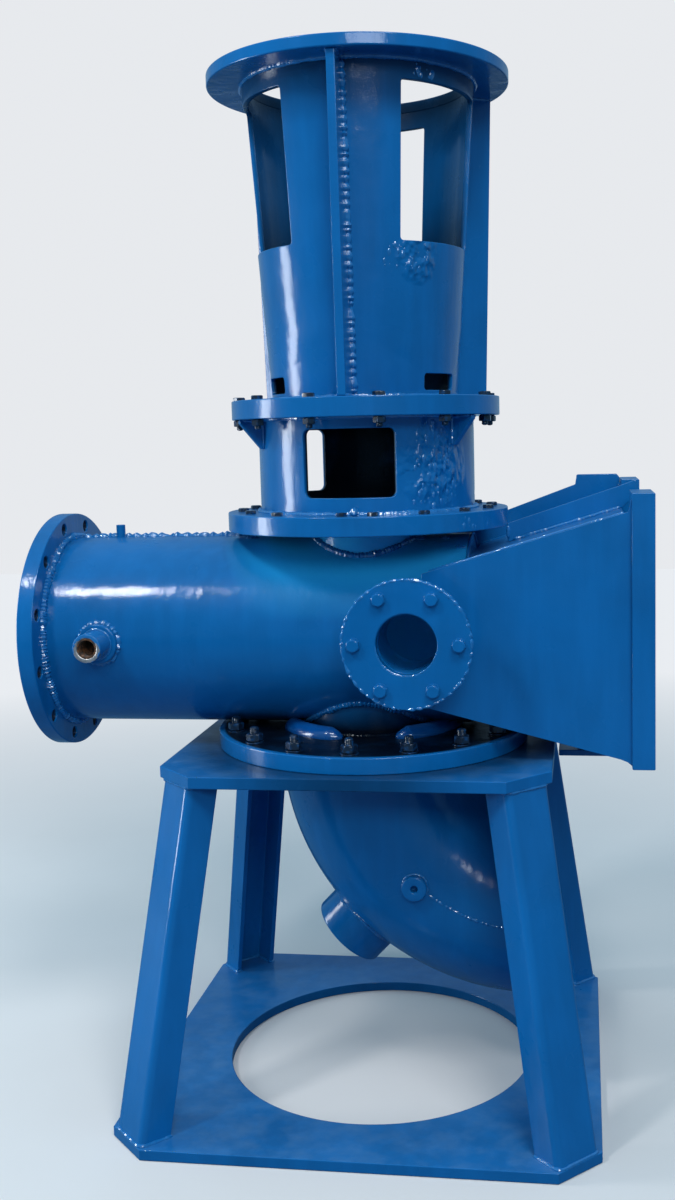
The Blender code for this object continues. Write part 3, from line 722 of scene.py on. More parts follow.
def piece(name, surfaces, finish, slot, stands_for=(), crease=38.0):
    """Mesh of one or more grids (points, wrap rows, wrap columns, cap ends) or (points, faces) pairs."""
    verts, faces, start = [], [], 0
    for surface in surfaces:
        if len(surface) == 2:
            points, quads = surface
            verts.append(points)
            faces += (quads + start).tolist()
            start += len(points)
            continue
        grid, wrap_rows, wrap_cols, caps = surface
        rows, cols = grid.shape[:2]
        i, j = np.meshgrid(np.arange(rows if wrap_rows else rows - 1),
                           np.arange(cols if wrap_cols else cols - 1), indexing="ij")
        k, n = (i + 1) % rows, (j + 1) % cols
        quads = np.stack([i * cols + j, k * cols + j, k * cols + n, i * cols + n], -1).reshape(-1, 4) + start
        faces += quads.tolist()
        if caps:
            faces.append(list(range(start, start + cols)))
            faces.append(list(range(start + (rows - 1) * cols, start + rows * cols)))
        verts.append(grid.reshape(-1, 3))
        start += rows * cols
    mesh = bpy.data.meshes.new(name)
    mesh.from_pydata(np.concatenate(verts).tolist(), [], faces)
    shape = bmesh.new()
    shape.from_mesh(mesh)
    bmesh.ops.remove_doubles(shape, verts=shape.verts, dist=2e-6)
    bmesh.ops.delete(shape, geom=[v for v in shape.verts if not v.link_faces], context='VERTS')
    bmesh.ops.recalc_face_normals(shape, faces=shape.faces)
    shape.to_mesh(mesh)
    shape.free()
    mesh.shade_smooth()
    mesh.set_sharp_from_angle(angle=math.radians(crease))
    obj = bpy.data.objects.new(name, mesh)
    bpy.context.scene.collection.objects.link(obj)
    mesh.materials.append(finish)
    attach(obj, "root")
    if stands_for:
        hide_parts(*stands_for)
    return obj


def skin(node, surfaces, paint):
    """Piece that stands for the node of the same name, in the finish of a pair; its slot is not used."""
    return piece(node + "_skin", surfaces, *paint, [node])


# Finishes

class Graph:
    """Small helper that adds and joins the nodes of one node tree."""

    def __init__(self, tree):
        self.tree = tree

    def feed(self, socket, value):
        """Joins a socket to another one, or sets its own value."""
        if isinstance(value, bpy.types.NodeSocket):
            self.tree.links.new(value, socket)
        else:
            socket.default_value = value

    def add(self, kind, inputs=(), **settings):
        """A new node with its own settings, and its inputs joined or set."""
        node = self.tree.nodes.new(kind)
        for key, value in settings.items():
            setattr(node, key, value)
        for key, value in dict(inputs).items():
            self.feed(node.inputs[key], value)
        return node

    def span(self, value, low, high, out_low=0.0, out_high=1.0, **settings):
        """A value carried from one range to another and held at its ends."""
        ends = {"Value": value, "From Min": low, "From Max": high, "To Min": out_low, "To Max": out_high}
        return self.add("ShaderNodeMapRange", ends, **settings).outputs["Result"]

    def maths(self, kind, a, b):
        """Arithmetic of one kind with two numbers."""
        return self.add("ShaderNodeMath", {0: a, 1: b}, operation=kind).outputs[0]

    def times(self, a, b):
        return self.maths('MULTIPLY', a, b)

    def blend(self, share, a, b):
        """Colour a where the share is 0 and colour b where it is 1."""
        return self.add("ShaderNodeMix", {0: share, 6: a, 7: b}, data_type='RGBA').outputs[2]


class Paint(Graph):
    """The node tree of one material, its patterns laid out on Object coordinates."""

    def __init__(self, name):
        self.mat = bpy.data.materials.new(name)
        self.mat.use_nodes = True
        super().__init__(self.mat.node_tree)
        self.place = self.add("ShaderNodeTexCoord").outputs["Object"]

    def stretched(self, scale):
        """Object coordinates scaled by their own factor along each axis."""
        return self.add("ShaderNodeMapping", {"Vector": self.place, "Scale": scale}).outputs["Vector"]

    def noise(self, scale, detail=2.0, vector=None, rough=0.5):
        """Smooth noise from 0 to 1, finer with a larger scale."""
        inputs = {"Vector": vector or self.place, "Scale": scale, "Detail": detail, "Roughness": rough}
        return self.add("ShaderNodeTexNoise", inputs).outputs["Fac"]

    def patches(self, scale, detail, low, high, out_low=0.0, out_high=1.0, **more):
        """Noise, with the part between low and high spread over the range that is given."""
        return self.span(self.noise(scale, detail, **more), low, high, out_low, out_high)

    def vector(self, kind, a, b=(0.0, 0.0, 0.0)):
        """Vector arithmetic of one kind: it gives a vector, or a number for a length or a distance."""
        node = self.add("ShaderNodeVectorMath", {0: a, 1: b}, operation=kind)
        return node.outputs["Value" if kind in ('LENGTH', 'DISTANCE') else "Vector"]

    def from_line(self, centre, across):
        """Place counted from a line: the difference from its centre, times 1 across it and 0 along it."""
        return self.vector('MULTIPLY', self.vector('SUBTRACT', self.place, tuple(centre)), across)

    def height(self, vector):
        """The z part of a vector."""
        return self.add("ShaderNodeSeparateXYZ", {"Vector": vector}).outputs["Z"]

    def bump(self, height, distance, strength, under=None):
        """Normal bent by a height, on top of another normal where one is given."""
        inputs = {"Height": height, "Distance": distance, "Strength": strength}
        if under is not None:
            inputs["Normal"] = under
        return self.add("ShaderNodeBump", inputs).outputs["Normal"]

    def finish(self, sockets):
        """The material, with the sockets of its shader joined or set."""
        for key, value in sockets.items():
            self.feed(self.tree.nodes["Principled BSDF"].inputs[key], value)
        return self.mat


def axis_shade(p, cone, heights, soft):
    """1 within a cone round the pump axis and between two heights, falling softly to 0 outside.

    cone is (z, radius, z, radius); heights is (starts, full from, full to, ends); soft is the width of
    the cone's blurred edge."""
    radius = p.vector('LENGTH', p.from_line((AXIS[0], AXIS[1], 0.0), (1.0, 1.0, 0.0)))
    z = p.height(p.place)
    limit = p.span(z, cone[0], cone[2], cone[1], cone[3])
    within = p.span(p.maths('SUBTRACT', limit, radius), 0.0, soft)
    rise = p.span(z, heights[0], heights[1])
    fall = p.span(z, heights[2], heights[3], 1.0, 0.0)
    return p.times(within, p.times(rise, fall))


def splash(p, centre, radius):
    """1 near a point, falling to 0 at the radius, broken up by noise."""
    near = p.span(p.vector('DISTANCE', p.place, centre), radius * 0.5, radius, 1.0, 0.0)
    return p.times(near, p.patches(30.0, 2.0, 0.35, 0.55))


def enamel(name, colour, wave=1.0, peel=1.0, shade=(), painted_light=(), splashes=(), gloss=1.40, dust_sheen_level=0.12):
    """Brushed and sprayed enamel: tint drift, a thin dusting with painted light on upward faces, orange
    peel, slow waves, sags.

    The first list of zones is painted shade, darkened towards near black and with a duller coat; the
    second is painted light, lifted towards a pale blue; splashes gives the places where the paint ran
    in thick drops."""
    p = Paint(name)
    deep = tuple(c * 0.80 for c in colour) + (1.0,)
    full = tuple(colour) + (1.0,)
    pale = tuple(min(1.0, c * 1.12 + 0.001) for c in colour) + (1.0,)
    tint = p.blend(p.patches(5.0, 3.0, 0.32, 0.68), deep, full)
    sweep = p.patches(1.0, 3.0, 0.45, 0.75, 0.0, 0.5, vector=p.stretched((34.0, 34.0, 4.5)))
    tint = p.blend(sweep, tint, pale)
    # upward faces take a paler blue: thin dust together with painted light from above
    upward = p.span(p.height(p.add("ShaderNodeNewGeometry").outputs["Normal"]), 0.75, 1.0)
    dust_sheen = p.times(upward, p.patches(24.0, 4.0, 0.40, 0.72, 0.2 * dust_sheen_level, dust_sheen_level))
    tint = p.blend(dust_sheen, tint, DUST_AND_SHEEN_TONE)
    scuff = p.patches(60.0, 5.0, 0.69, 0.75, 0.0, 0.30, rough=0.7)
    tint = p.blend(scuff, tint, SCUFF_TONE)
    rough = p.patches(9.0, 4.0, 0.3, 0.7, 0.24, 0.38)
    for layer, more in ((scuff, 0.5), (dust_sheen, 0.4)):
        rough = p.maths('ADD', rough, p.times(layer, more))
    # painted light: in each zone the tint lifts towards a pale blue
    for cone, heights, depth, soft in painted_light:
        tint = p.blend(p.times(axis_shade(p, cone, heights, soft), depth), tint, PAINTED_LIGHT_TONE)
    coat = p.span(upward, 0.0, 1.0, 1.0, 0.35)
    # painted shade: in each zone the tint darkens towards near black and the coat dulls
    for cone, heights, depth, soft in shade:
        uneven = p.patches(14.0, 3.0, 0.25, 0.5, 0.88 * depth, depth)
        dark = p.times(axis_shade(p, cone, heights, soft), uneven)
        tint = p.blend(dark, tint, PAINTED_SHADE_TONE)
        coat = p.times(coat, p.span(dark, 0.0, 1.0, 1.0, 0.12))
    normal = p.bump(p.noise(16.0), 0.004 * wave, 0.35)
    normal = p.bump(p.noise(1.0, vector=p.stretched((90.0, 90.0, 16.0))), 0.0012 * wave, 0.30, normal)
    normal = p.bump(p.noise(420.0), 0.0003 * peel, 0.5, normal)
    for centre, radius in splashes:
        drops = p.add("ShaderNodeTexVoronoi", {"Vector": p.stretched((95.0, 95.0, 60.0)), "Scale": 1.0},
                      feature='SMOOTH_F1').outputs["Distance"]
        normal = p.bump(p.times(splash(p, centre, radius), drops), 0.009, 1.0, normal)
    return p.finish({"Base Color": tint, "Roughness": rough, "Specular IOR Level": 0.12,
                     "Coat Weight": coat, "Coat Roughness": 0.04, "Coat IOR": gloss,
                     "Normal": normal, "Coat Normal": normal})


def bare_steel(name):
    """Turned steel, stained in places, with blue overspray on the outside of the socket.

    The paint starts at a radius that shrinks with height, and noise makes its edge uneven."""
    p = Paint(name)
    bare = p.blend(p.patches(120.0, 4.0, 0.45, 0.7, 0.0, 0.6), STEEL_TONE, STAIN_TONE)
    spot = p.from_line(AXIS + [TAP_AT[0], 0.0, TAP_AT[1]], (1.0, 0.0, 1.0))
    radius = p.vector('LENGTH', spot)
    edge = p.maths('ADD', p.span(p.height(spot), -0.012, 0.016, 0.0, 0.006),
                   p.patches(160.0, 3.0, 0.3, 0.7, -0.002, 0.002))
    paint = p.span(p.maths('ADD', radius, edge), 0.0252, 0.0262)
    return p.finish({"Base Color": p.blend(paint, bare, (0.010, 0.165, 0.44, 1.0)),
                     "Metallic": p.span(paint, 0.0, 1.0, 0.75, 0.0),
                     "Roughness": p.patches(300.0, 3.0, 0.3, 0.7, 0.28, 0.5),
                     "Normal": p.bump(p.noise(900.0), 0.0002, 0.5)})


def rust(name):
    """Rusted thread: brown with orange blooms, rough and pitted."""
    p = Paint(name)
    bloom = p.patches(150.0, 4.0, 0.42, 0.62)
    return p.finish({"Base Color": p.blend(bloom, (0.045, 0.026, 0.018, 1.0), (0.22, 0.085, 0.030, 1.0)),
                     "Metallic": 0.15,
                     "Roughness": p.patches(260.0, 3.0, 0.3, 0.7, 0.40, 0.75),
                     "Normal": p.bump(p.noise(600.0, 4.0), 0.0006, 0.7)})


def oiled_fastener(name):
    """Dark bolts and nuts: black oxide with oil on it and thin blue overspray."""
    p = Paint(name)
    spray = p.patches(140.0, 4.0, 0.50, 0.70, 0.0, 0.55)
    return p.finish({"Base Color": p.blend(spray, (0.004, 0.012, 0.030, 1.0), (0.005, 0.095, 0.29, 1.0)),
                     "Specular IOR Level": 0.3,
                     "Coat Weight": p.patches(90.0, 2.0, 0.3, 0.6, 0.6, 1.0),
                     "Coat Roughness": 0.06,
                     "Roughness": p.patches(200.0, 3.0, 0.3, 0.7, 0.30, 0.50),
                     "Normal": p.bump(p.noise(500.0, 3.0), 0.0003, 0.6)})


def floor_paint(name):
    """Pale floor. It throws little light back at the pump, and what the camera sees of it fades
    with the distance into the tone of the backdrop."""
    p = Paint(name)
    pale = p.blend(p.patches(1.6, 4.0, 0.3, 0.7), (0.83, 0.75, 0.70, 1.0), (0.87, 0.79, 0.74, 1.0))
    seen = p.add("ShaderNodeLightPath").outputs["Is Camera Ray"]
    shown = p.blend(seen, (0.07, 0.16, 0.24, 1.0), pale)
    far = p.times(p.span(p.vector('LENGTH', p.place), 1.3, 4.2), seen)
    return p.finish({"Base Color": p.blend(far, shown, (0.0, 0.0, 0.0, 1.0)),
                     "Emission Color": BACKDROP, "Emission Strength": far, "Roughness": 0.85,
                     "Normal": p.bump(p.noise(60.0, 4.0), 0.0006, 0.3)})


# Tones of the finishes
BLUE = (0.002, 0.142, 0.405)
# paler blue of dust and painted light on upward faces
DUST_AND_SHEEN_TONE = (0.13, 0.27, 0.46, 1.0)
SCUFF_TONE = (0.05, 0.20, 0.42, 1.0)
# near black of the painted shade
PAINTED_SHADE_TONE = (0.0012, 0.0045, 0.012, 1.0)
# pale blue of the painted light
PAINTED_LIGHT_TONE = (0.026, 0.50, 1.0, 1.0)
STEEL_TONE = (0.50, 0.45, 0.43, 1.0)
STAIN_TONE = (0.24, 0.17, 0.14, 1.0)
BACKDROP = (0.80, 0.82, 0.85, 1.0)


def column(radius):
    """Upright cylinder, in the form in which axis_shade takes a cone."""
    return (0.0, radius, 2.0, radius)


def stool_cone(more):
    """The stool's own taper, a little wider, or narrower where more is negative."""
    return (STOOL_Z[0], STOOL_R[0] + more, STOOL_Z[1], STOOL_R[1] + more)


# Zones of painted shade and painted light: cone, heights, depth, width of the blurred edge
CRISP = 0.005
# Painted shade under the barrel: the suction flange pair and the neck, and the barrel's bottom near the axis
UNDER_CASING = ((column(SUCTION_R - 0.007), (0.655, 0.664, 0.682, 0.715), 1.0, CRISP),
                (column(NECK_R + 0.003), (0.655, 0.664, 0.715, 0.735), 0.97, CRISP))
# Painted light on the barrel's top under the cover, laid over the cover's shadow
UNDER_COVER = ((column(0.272), (0.89, 1.010, 1.05, 1.06), 0.95, 0.075),)
# Painted shade: the stool's top just under the motor ring, the inside of the pedestal, the stool's lower
# inside, and a lighter darkening with a duller coat over all the stool's inside
IN_STOOL = ((stool_cone(0.004), (1.74, 1.840, 1.86, 1.87), 0.88, CRISP),
            (column(PED_R - 0.003), (1.0, 1.01, 1.262, 1.266), 1.0, CRISP),
            (stool_cone(-0.003), (1.262, 1.266, 1.50, 1.66), 0.96, CRISP),
            (stool_cone(-0.003), (1.262, 1.266, 1.85, 1.86), 0.45, CRISP))
# Painted shade on the top plate round the suction flange; darker round the wall of the base hole
ON_STAND = ((column(0.395), (TOP_Z[0] - 0.02, TOP_Z[0] - 0.01, TOP_Z[1] + 0.005, TOP_Z[1] + 0.01),
             0.72, 0.08),
            (column(BASE_HOLE_R + 0.002), (-0.02, -0.01, 0.03, 0.04), 0.7, CRISP))

# Places of thick paint: centre and radius
THICK_PAINT = ((tuple(AXIS + [0.150, -0.140, 1.165]), 0.085), (tuple(AXIS + [0.130, -0.150, 1.520]), 0.050))

# Finishes, those of the main pieces together with their slots
pump_blue = enamel("blue_enamel_pump", BLUE, shade=UNDER_CASING, painted_light=UNDER_COVER)
stand_blue = enamel("blue_enamel_stand", (0.004, 0.148, 0.420), 0.6, shade=ON_STAND, dust_sheen_level=0.34)
stool_blue = enamel("blue_enamel_stool", BLUE, 0.9, shade=IN_STOOL, splashes=THICK_PAINT)
PUMP_PAINT = (pump_blue, "pump_paint")
STAND_PAINT = (stand_blue, "stand_paint")
STOOL_PAINT = (stool_blue, "stool_paint")
weld_blue = enamel("blue_enamel_weld", (0.006, 0.165, 0.460), 1.2, 2.0, gloss=2.0)
# darker copy of the enamel: painted shade for the arcs at the neck's foot
shaded_copy_blue = enamel("blue_enamel_shaded_copy", (0.001, 0.075, 0.290), 0.6, gloss=1.7)
steel = bare_steel("bare_turned_steel")
rusty = rust("rusted_thread")
oiled = oiled_fastener("oiled_fastener")


def build_stand():
    """Base plate, four splayed legs and top plate, with the welds at both ends of each leg."""
    skin("base_plate", [ray_plate(BASE_HALF, BASE_CHAMFER, 0.0, BASE_T, BASE_HOLE_R)], STAND_PAINT)
    skin("frame_top_plate", [ray_plate(TOP_HALF, TOP_CHAMFER, *TOP_Z, TOP_HOLE_R)], STAND_PAINT)
    beads = []
    for depth, sy in (("front", -1), ("back", 1)):
        for side, sx in (("left", -1), ("right", 1)):
            shape = leg(sx, sy)
            skin("leg_%s_%s" % (depth, side), [shape], STAND_PAINT)
            for row, lift in ((0, LIFT), (-1, -LIFT)):
                beads.append(bead(shape[0][row] + [0, 0, lift], 0.007, pitch=0.006, step=0.003))
    piece("stand_welds", beads, weld_blue, "stand_paint")


def build_suction():
    """Flange pair under the casing, the elbow with its mouth, stub and gauge boss, and the studs."""
    low, joint, high = SUCTION_Z
    pair = [(BORE_R, low), (SUCTION_R, low), (SUCTION_R, high), (SUCTION_BORE_R, high),
            (SUCTION_BORE_R, joint), (BORE_R, joint)]
    piece("suction_flange_pair_skin", [lathe(rounded(pair, EDGE), AXIS)], *PUMP_PAINT,
          ["elbow_top_flange", "casing_suction_flange"])
    way = elbow_line()
    piece("suction_elbow_skin", [tube_run(elbow_skin(PIPE_R, way), elbow_skin(BORE_R, way))],
          *PUMP_PAINT, ["suction_elbow_upper", "suction_elbow_lower"])
    mouth = AXIS + [0, 0, BEND_Z - BEND_R]
    skin("elbow_inlet_flange",
         [ring(PIPE_R - LIFT, MOUTH_R, ELBOW_END - MOUTH_T, ELBOW_END, mouth, "x")], PUMP_PAINT)
    skin("elbow_clean_out_stub", [clean_out_stub()], PUMP_PAINT)
    boss = front_tube(GAUGE_AT, GAUGE_R, GAUGE_BORE_R, GAUGE_REACH, 48, on_elbow, 0.003)
    skin("elbow_gauge_boss", [boss], PUMP_PAINT)
    inward = -0.004 * np.array([math.cos(STUB_TURN), 0, math.sin(STUB_TURN)])
    front_seam = elbow_skin(PIPE_R - LIFT, way[26:48])[:, 72]     # lower half of the bend, on its front
    beads = [bead(stub_points(STUB_R, full_turn(160), None) + inward, 0.010),
             bead(front_root(GAUGE_AT, GAUGE_R, on_elbow, 80), 0.006),
             bead(front_seam, 0.006, False, pitch=0.010, swell=0.85),
             bead(circle(PIPE_R + LIFT, mouth + [ELBOW_END - MOUTH_T, 0, 0], "x"), 0.010),
             bead(circle(PIPE_R + LIFT, AXIS + [0, 0, TOP_Z[0] - LIFT]), 0.008)]
    piece("suction_welds", beads, weld_blue, "pump_paint")
    stud = [washer(0.0165, 0.0, 0.0025), hexagon(0.026, 0.0025, 0.017, True), rod(0.0085, 0.017, 0.027)]
    spots = bolt_circle(SUCTION_BOLT_R, high, 16, 0.0)
    piece("suction_flange_studs", set_on(stud, spots, (0, 0, 1)), oiled, "pump_paint", crease=32.0)


def socket_thread(turns=48):
    """Threaded wall of the gauge socket: its bore less the thread's depth, closed by a plain back."""
    t = full_turn(turns)[None]
    h = np.arange(0.0, TAP_DEPTH, 0.0006)[:, None]
    z = -TAP_REACH + LIFT + h
    wall = polar(TAP_BORE_R - 0.0011 * thread(h, t, 0.0018), t, z)
    back = polar(TAP_BORE_R + 0.0022, t, z)[::-1]
    return face_on(TAP_AT, np.concatenate([wall, back])), True, True, False


def build_casing():
    """Barrel with neck and collar, inspection flange, discharge flange, vent, gauge socket, welds."""
    piece("casing_barrel_skin", barrel(), *PUMP_PAINT,
          ["pump_casing_upper", "pump_casing_lower", "casing_end_plate", "discharge_pipe"])
    neck = [saddled_wall(r, -1.0, SUCTION_Z[2], 12, 160) for r in (NECK_R, SUCTION_BORE_R)]
    skin("casing_neck", [tube_run(*neck)], PUMP_PAINT)
    collar = saddled_wall(COLLAR_R, 1.0, CASING_TOP, 6, 96)[::-1]
    skin("casing_collar", [(collar, False, True, True)], PUMP_PAINT)

    eye_at, eye = (EYE_X, EYE_Z), AXIS + [EYE_X, 0, EYE_Z]
    skin("inspection_nozzle", [front_tube(eye_at, NOZZLE_R, NOZZLE_BORE_R, EYE_BACK)], PUMP_PAINT)
    eye_edges = (0.003, 0.002, 0.002, 0.002)
    skin("inspection_flange",
         [ring(NOZZLE_BORE_R, EYE_FLANGE_R, -EYE_FACE, -EYE_BACK, eye, "y", eye_edges, 96)], PUMP_PAINT)

    back_x = DISCHARGE_X + DISCHARGE_T
    flange = drilled_flange(DISCHARGE_X, back_x, PIPE_R - LIFT, DISCHARGE_R, BOLT_HOLE_R, BOLT_CIRCLE_R, 12)
    skin("discharge_flange", flange, PUMP_PAINT)
    # thin dark linings inside the bolt holes, in the oiled finish: painted shade in the holes
    thin, inset = 0.0007, 0.003
    hole_shade_linings = [ring(BOLT_HOLE_R - thin, BOLT_HOLE_R + thin, DISCHARGE_X + inset, back_x - inset,
                  PUMP + [0, BOLT_CIRCLE_R * math.cos(a), BOLT_CIRCLE_R * math.sin(a)], "x", 0.0003, 24)
             for a in np.radians(15.0 + 30.0 * np.arange(12))]
    piece("discharge_bolt_hole_shade", hole_shade_linings, oiled, "pump_paint")
    skin("discharge_vent_stub", [disc(VENT_R, *VENT_Z, AXIS + [VENT_X, 0, 0], "z", 0.001, 32)], PUMP_PAINT)

    tap = AXIS + [TAP_AT[0], 0, TAP_AT[1]]
    tap_foot = -TAP_PAD_REACH + 0.008
    pad = front_tube(TAP_AT, TAP_PAD_R, TAP_R - LIFT, TAP_PAD_REACH, 64, edge=0.003)
    piece("discharge_gauge_pad_skin", [pad], *PUMP_PAINT, ["discharge_gauge_boss"])
    tap_edges = (0.004, 0.0015, 0.002, 0.001)
    socket = ring(TAP_BORE_R + 0.0015, TAP_R, -TAP_REACH, tap_foot, tap, "y", tap_edges, 64)
    piece("discharge_gauge_socket_skin", [socket], steel, "bare_thread", ["discharge_gauge_boss"])
    bottom = disc(TAP_BORE_R + 0.002, -TAP_PAD_REACH, tap_foot, tap, "y", 0.001, 48)
    piece("gauge_socket_thread", [socket_thread(), bottom], rusty, "bare_thread")

    ridge_y, ridge_z = 0.012, PUMP_Z + PIPE_R - LIFT
    beads = [bead(circle(PIPE_R + 0.002, PUMP + [back_x, 0, 0], "x", 240), 0.017, swell=0.35),
             bead(front_root(eye_at, NOZZLE_R + LIFT), 0.013, swell=0.4),
             bead(circle(NOZZLE_R + LIFT, eye - [0, EYE_BACK, 0], "y"), 0.008),
             bead(circle(EYE_FLANGE_R - 0.0016, eye - [0, EYE_FACE - 0.0025, 0], "y"), 0.007,
                  pitch=0.015, swell=0.7),
             bead(circle(NOZZLE_BORE_R + LIFT, eye - [0, EYE_FACE - LIFT, 0], "y", 80, 100, 170), 0.003,
                  False, pitch=0.009, swell=0.6),
             bead(front_root(TAP_AT, TAP_PAD_R), 0.012, pitch=0.011, swell=0.5),
             bead(circle(TAP_R + LIFT, tap - [0, TAP_PAD_REACH, 0], "y", 100), 0.005),
             bead(saddle(COLLAR_R + LIFT, 1.0), 0.014, swell=0.4),
             bead(circle(COLLAR_R + 0.002, AXIS + [0, 0, CASING_TOP]), 0.008),
             seam((DISCHARGE_X + 0.04, ridge_y, ridge_z), (-0.11, ridge_y, ridge_z), 0.016,
                  pitch=0.017, swell=0.55)]
    for x0, x1, out in ((-0.232, -0.205, 0.029), (0.061, 0.081, 0.068), (0.084, 0.112, 0.047),
                        (0.139, 0.158, 0.043), (0.170, 0.189, 0.080)):
        z = PUMP_Z + math.sqrt(PIPE_R ** 2 - out ** 2)
        beads.append(seam((x0, -out, z), (x1, -out, z), 0.009, pitch=0.012, swell=0.5))
    piece("casing_welds", beads, weld_blue, "pump_paint")

    # these welds take the pump's enamel, so the painted shade under the casing darkens them
    beads = [bead(saddle(NECK_R + LIFT, -1.0, 300), 0.014, swell=0.4),
             bead(circle(NECK_R + 0.002, AXIS + [0, 0, SUCTION_Z[2]]), 0.008)]
    piece("casing_neck_welds", beads, *PUMP_PAINT)
    foot = AXIS + [0, 0, SUCTION_Z[2] + LIFT]
    # the arcs take the darker copy of the enamel, a painted shade
    arcs = [circle(NECK_ARC_R, foot, "z", 60, start, sweep) for start, sweep in ((198, 60), (294, 76))]
    arcs = [bead(arc, 0.036, False, sides=24, swell=0.0, rough=0.0) for arc in arcs]
    piece("casing_neck_foot_arcs", arcs, shaded_copy_blue, "pump_paint")
    spots = polar(EYE_BOLT_R, full_turn(6), -EYE_FACE)[:, [0, 2, 1]] + eye
    heads = set_on([washer(0.0125, 0.0, 0.0022), hexagon(0.0205, 0.0022, 0.0115)], spots, (0, -1, 0))
    piece("inspection_flange_bolts", heads, *PUMP_PAINT, crease=32.0)


def build_pedestal():
    """Casing cover, windowed tube with three gussets, and the pair of flanges under the stool."""
    foot, head = PED_Z
    cover_top = CASING_TOP + PED_FLANGE_T
    cover = [(PED_FLANGE_R, CASING_TOP), (PED_FLANGE_R, foot), (PED_RING_R, foot), (PED_RING_R, cover_top)]
    cover = [(-PED_FLANGE_R, CASING_TOP)] + cover + [(-r, z) for r, z in cover[:0:-1]]
    piece("casing_cover_and_flange_skin", [spun_solid(cover, EDGE, AXIS)], *STOOL_PAINT,
          ["casing_cover", "pedestal_lower_flange"])
    rows = [PED_Z + (FRONT_ANGLES, 24.0) + PED_WINDOW + (16,)]
    skin("pedestal_tube", holed_wall(PED_Z, (PED_R, PED_R), WALL, rows, 0.012), STOOL_PAINT)
    joint, high = head + MID_T, STOOL_Z[0]
    pair = [(PED_RING_R, head), (MID_R, head), (MID_R, high), (STOOL_BORE_R, high),
            (STOOL_BORE_R, joint), (PED_RING_R, joint)]
    piece("middle_flange_pair_skin", [lathe(rounded(pair, EDGE), AXIS)], *STOOL_PAINT,
          ["pedestal_upper_flange", "stool_lower_flange"])
    blob = spoke(273.5, [(0.238, foot + 0.002), (0.219, foot + 0.012)], 0.0)
    beads = [bead(circle(PED_R + 0.002, AXIS + [0, 0, foot]), 0.011),
             bead(circle(PED_R + LIFT, AXIS + [0, 0, head]), 0.008),
             bead(circle(COLLAR_R, AXIS + [0, 0, CASING_TOP]), 0.004),
             bead(blob, 0.016, False)]
    low, wall = head - GUSSET_DROP, PED_R - 0.002
    outline = [(wall, head), (GUSSET_R, head), (GUSSET_R, head - GUSSET_LIP), (PED_R + 0.005, low),
               (wall, low)]
    corner = [(PED_R + LIFT, low + LIFT), (PED_R + LIFT, head - 0.004), (GUSSET_R - 0.004, head - LIFT)]
    for k, angle in enumerate(SIDE_ANGLES):
        skin("pedestal_gusset_%d" % (k + 1), [radial(outline, 0.012, angle)], STOOL_PAINT)
        beads += [bead(spoke(angle, corner, offset), 0.006, False) for offset in (-0.006, 0.006)]
    piece("pedestal_welds", beads, weld_blue, "stool_paint")
    angles = 11.25 + 22.5 * np.arange(16)
    angles[11] = 268.0                   # one bolt stands out of line in front of the window
    up, down = (0, 0, 1), (0, 0, -1)
    made = set_on([hexagon(0.0175, 0.0, 0.0065)], bolt_ring(PED_BOLT_R, foot, angles), up)
    made += set_on([hexagon(0.0195, 0.0, 0.0072)], bolt_circle(MID_BOLT_R, high, 12, 15.0), up)
    nut = [hexagon(0.0205, 0.0, 0.0115, True), rod(0.006, 0.0115, 0.017)]
    made += set_on(nut, bolt_circle(MID_BOLT_R, head, 12, 15.0), down)
    piece("flange_bolts", made, oiled, "stool_paint", crease=32.0)


def build_stool():
    """Tapering tube with slots and windows, three ribs, the motor ring and their welds."""
    low, high = STOOL_Z
    foot_r, head_r = STOOL_R
    rows = [(low, STOOL_SPLIT, SIDE_ANGLES, 13.7) + STOOL_SLOT + (16,),
            (STOOL_SPLIT, high, SIDE_ANGLES, 30.0) + STOOL_WINDOW + (30,)]
    skin("stool_tube", holed_wall(STOOL_Z, STOOL_R, STOOL_WALL, rows, 0.006), STOOL_PAINT)
    motor_ring = ring(MOTOR_BORE_R, MOTOR_R, high, MOTOR_TOP, AXIS, edge=0.0022, turns=160)
    skin("motor_flange", [motor_ring], STOOL_PAINT)
    beads = [bead(circle(foot_r + 0.002, AXIS + [0, 0, low]), 0.010),
             bead(circle(head_r + LIFT, AXIS + [0, 0, high]), 0.009)]
    outline = [(foot_r - 0.002, low), (RIB_R[0], low), (RIB_R[1], high), (head_r - 0.002, high)]
    side = [(foot_r + LIFT, low + 0.004), (head_r + LIFT, high - 0.004)]
    foot = [(foot_r + 0.004, low + LIFT), (0.243, low + LIFT)]
    head = [(head_r + 0.004, high - LIFT), (0.260, high - LIFT)]
    for k, angle in enumerate(FRONT_ANGLES):
        skin("stool_rib_%d" % (k + 1), [radial(outline, RIB_T, angle)], STOOL_PAINT)
        for s in (-1, 1):
            beads.append(bead(spoke(angle, side, s * 0.0092), 0.013, False, pitch=0.014, swell=0.6))
            beads += [bead(spoke(angle, end, s * 0.008), 0.007, False) for end in (foot, head)]
    piece("stool_welds", beads, weld_blue, "stool_paint")


def top_edge(x):
    """Height of the bracket's sloped upper edge."""
    return 0.978 + 0.29 * (x - 0.130)


def low_edge(x):
    """Height of its sloped lower edge."""
    return 0.7245 - 0.263 * (x - 0.182)


